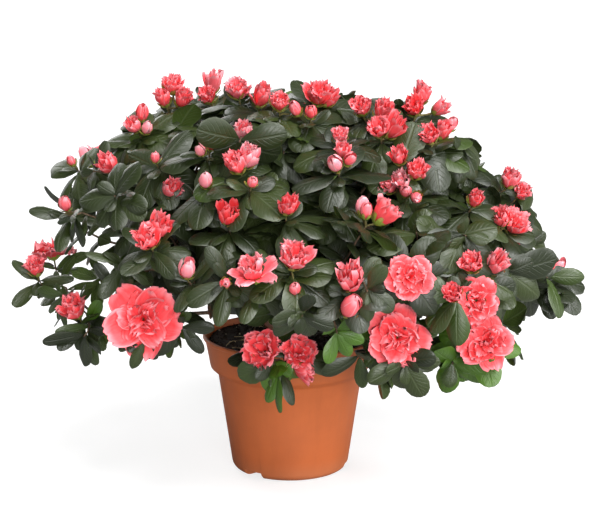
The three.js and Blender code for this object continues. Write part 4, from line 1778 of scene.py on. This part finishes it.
def add_ring(petals, rng, foot, axis, size, ring, petal_tone, offset):
    """One ring of petals or scales, each a little different from the next."""
    count, length, width, start, turn, ruffle = ring
    first, second = across_pair(axis)
    for index in range(count):
        around = offset + 2 * math.pi * index / count + rng.normal(0, 0.12)
        out = first * math.cos(around) + second * math.sin(around)
        petals.add(
            foot,
            axis,
            out,
            length=size * length * rng.uniform(0.88, 1.1),
            width=size * width * rng.uniform(0.88, 1.14),
            start=math.radians(start + rng.normal(0, 4)),
            turn=math.radians(turn + math.copysign(min(abs(rng.normal(0, 6)), abs(turn) - 2), turn)),
            ruffle=ruffle * rng.uniform(0.7, 1.3),
            phase=rng.uniform(0, FULL_TURN),
            tone=float(petal_tone),
        )


class PetalList(LeafList):
    """The numbers of many petals."""

    def __init__(self):
        super().__init__()
        keys = ("axis", "face", "length", "width", "start", "turn", "ruffle", "phase", "tone")
        self.columns = {key: [] for key in keys}


def add_bloom(petals, rng, kind, foot, axis, size):
    """One bloom or bud: its rings of petals and the green scales under them."""
    size *= PETAL_REACH
    names = list(PETAL_TONES)
    outer = rng.choice(len(names), p=[PETAL_CHOICE[kind].get(name, 0.0) for name in names])
    inner = names.index("rose") if names[outer] == "pale" else names.index("coral")
    offset = rng.uniform(0, FULL_TURN)
    for index, ring in enumerate(BLOOM_RINGS[kind]):
        petal_tone = inner if index >= 2 and rng.rand() < 0.5 else outer
        base = foot + axis * size * 0.02 * index
        add_ring(petals, rng, base, axis, size, ring, petal_tone, offset + index * 0.62)
    sepal = min(size * SEPAL_SHARE + SEPAL_MORE, SEPAL_LIMIT)
    add_ring(petals, rng, foot - axis * 1.2 * MM, axis, sepal, SEPAL_RING, len(names), offset)


class AZALEA_OT_blossom(bpy.types.Operator):
    """Open the buds and blooms on the shoots"""

    bl_idname = "azalea.blossom"
    bl_label = "Blossom"

    def execute(self, context):
        settings = context.scene.azalea_blossom
        materials = petal_materials()
        rng = np.random.RandomState(settings.seed + 1)
        for name, (kinds, rows, columns) in PETAL_PIECES.items():
            blade = blade_source("petal blade", rows, columns)
            petals = PetalList()
            for shoot in growth().shoots:
                for kind, foot, axis, width in shoot.blooms:
                    if kind in kinds:
                        add_bloom(petals, rng, kind, foot, axis, width)
            source = add_points(name + " roots", petals.roots, **petals.columns)
            maker = petal_tree(blade, settings.thickness, materials)
            add_piece(maker.apply_to(source, name, kept=("leaf", "OFBake")))
            bpy.data.objects.remove(blade)
        return {"FINISHED"}


# ---------------------------------------------------------------- stage

# Each light's azimuth from the front to the right, its elevation, strength and softness, with
# the angles in degrees.
SUNS = {
    "key light": (46, 44, 2.5, 20),
    "top light": (0, 64, 1.7, 20),
    "front light": (12, 9, 2.6, 30),
    "side light": (72, 5, 2.0, 40),
    "back light": (205, 24, 1.5, 40),
}
# How bright the room looks to the camera.
ROOM_BRIGHTNESS = 1.02


def add_sun(name, azimuth, elevation, strength, softness):
    """Adds even light from afar."""
    data = bpy.data.lights.new(name, "SUN")
    data.energy = strength
    data.angle = math.radians(softness)
    lamp = bpy.data.objects.new(name, data)
    bpy.context.scene.collection.objects.link(lamp)
    azimuth, elevation = math.radians(azimuth), math.radians(elevation)
    level = math.cos(elevation)
    source = Vector((math.sin(azimuth) * level, -math.cos(azimuth) * level, math.sin(elevation)))
    lamp.location = source * 2
    lamp.rotation_euler = (-source).to_track_quat("-Z", "Y").to_euler()


def add_floor():
    mesh = bpy.data.meshes.new("floor")
    half = 30.0
    low = -0.2 * MM
    corners = [(-half, -half, low), (half, -half, low), (half, half, low), (-half, half, low)]
    mesh.from_pydata(corners, [], [(0, 1, 2, 3)])
    floor = add_object("floor", mesh)
    surface = Surface("pale floor", Roughness=0.9, Specular_IOR_Level=0.0, Emission_Strength=0.76)
    seen = surface.node("ShaderNodeLightPath", output="Is Camera Ray")
    surface.feed("Emission Color", surface.mix_colour(seen, tone(0, 0, 0), tone(255, 255, 255)))
    grain = surface.noise(surface.place(), 40.0, 2.0)
    surface.feed("Base Color", surface.mix_colour(grain, tone(160, 160, 160), tone(164, 164, 164)))
    mesh.materials.append(surface.material)


class AZALEA_OT_stage(bpy.types.Operator):
    """Set up the floor, the light and the camera"""

    bl_idname = "azalea.stage"
    bl_label = "Stage"

    def execute(self, context):
        stage = context.scene.azalea_stage
        add_floor()
        for name, light in SUNS.items():
            add_sun(name, *light)
        world = bpy.data.worlds.new("soft room")
        world.use_nodes = True
        maker = TreeMaker(world.node_tree)
        seen = maker.node("ShaderNodeLightPath", output="Is Camera Ray")
        background = world.node_tree.nodes["Background"]
        background.inputs["Color"].default_value = (1.0, 1.0, 1.0, 1.0)
        strength = seen * (ROOM_BRIGHTNESS - stage.fill) + stage.fill
        world.node_tree.links.new(strength.socket, background.inputs["Strength"])
        context.scene.world = world
        context.scene.view_settings.view_transform = "Standard"
        place, forward = camera_place(stage)
        data = bpy.data.cameras.new("camera")
        data.lens = stage.lens
        data.sensor_width = 36.0
        camera = bpy.data.objects.new("camera", data)
        context.scene.collection.objects.link(camera)
        camera.location = Vector(place)
        camera.rotation_euler = Vector(forward).to_track_quat("-Z", "Y").to_euler()
        context.scene.camera = camera
        return {"FINISHED"}


# ---------------------------------------------------------------- add-on

class AZALEA_PT_panel(bpy.types.Panel):
    """Lists the steps that build the plant, in their order"""

    bl_label = "Potted azalea"
    bl_idname = "AZALEA_PT_panel"
    bl_space_type = "VIEW_3D"
    bl_region_type = "UI"
    bl_category = "Azalea"

    def draw(self, context):
        for operator in OPERATORS:
            self.layout.operator(operator.bl_idname)


SETTINGS = {
    "azalea_pot": PotSettings,
    "azalea_branches": BranchSettings,
    "azalea_leaves": LeafSettings,
    "azalea_blossom": BlossomSettings,
    "azalea_stage": StageSettings,
}
OPERATORS = (
    AZALEA_OT_pot,
    AZALEA_OT_soil,
    AZALEA_OT_wood,
    AZALEA_OT_twigs,
    AZALEA_OT_leaves,
    AZALEA_OT_blossom,
    AZALEA_OT_stage,
)
CLASSES = (*SETTINGS.values(), *OPERATORS, AZALEA_PT_panel)


def register():
    for each in CLASSES:
        bpy.utils.register_class(each)
    for name, group in SETTINGS.items():
        setattr(bpy.types.Scene, name, PointerProperty(type=group))


def unregister():
    for name in SETTINGS:
        delattr(bpy.types.Scene, name)
    for each in reversed(CLASSES):
        bpy.utils.unregister_class(each)


def main():
    register()
    bpy.ops.azalea.pot()
    bpy.ops.azalea.soil()
    bpy.ops.azalea.wood()
    bpy.ops.azalea.twigs()
    bpy.ops.azalea.leaves()
    bpy.ops.azalea.blossom()
    bpy.ops.azalea.stage()


if __name__ == "__main__":
    main()
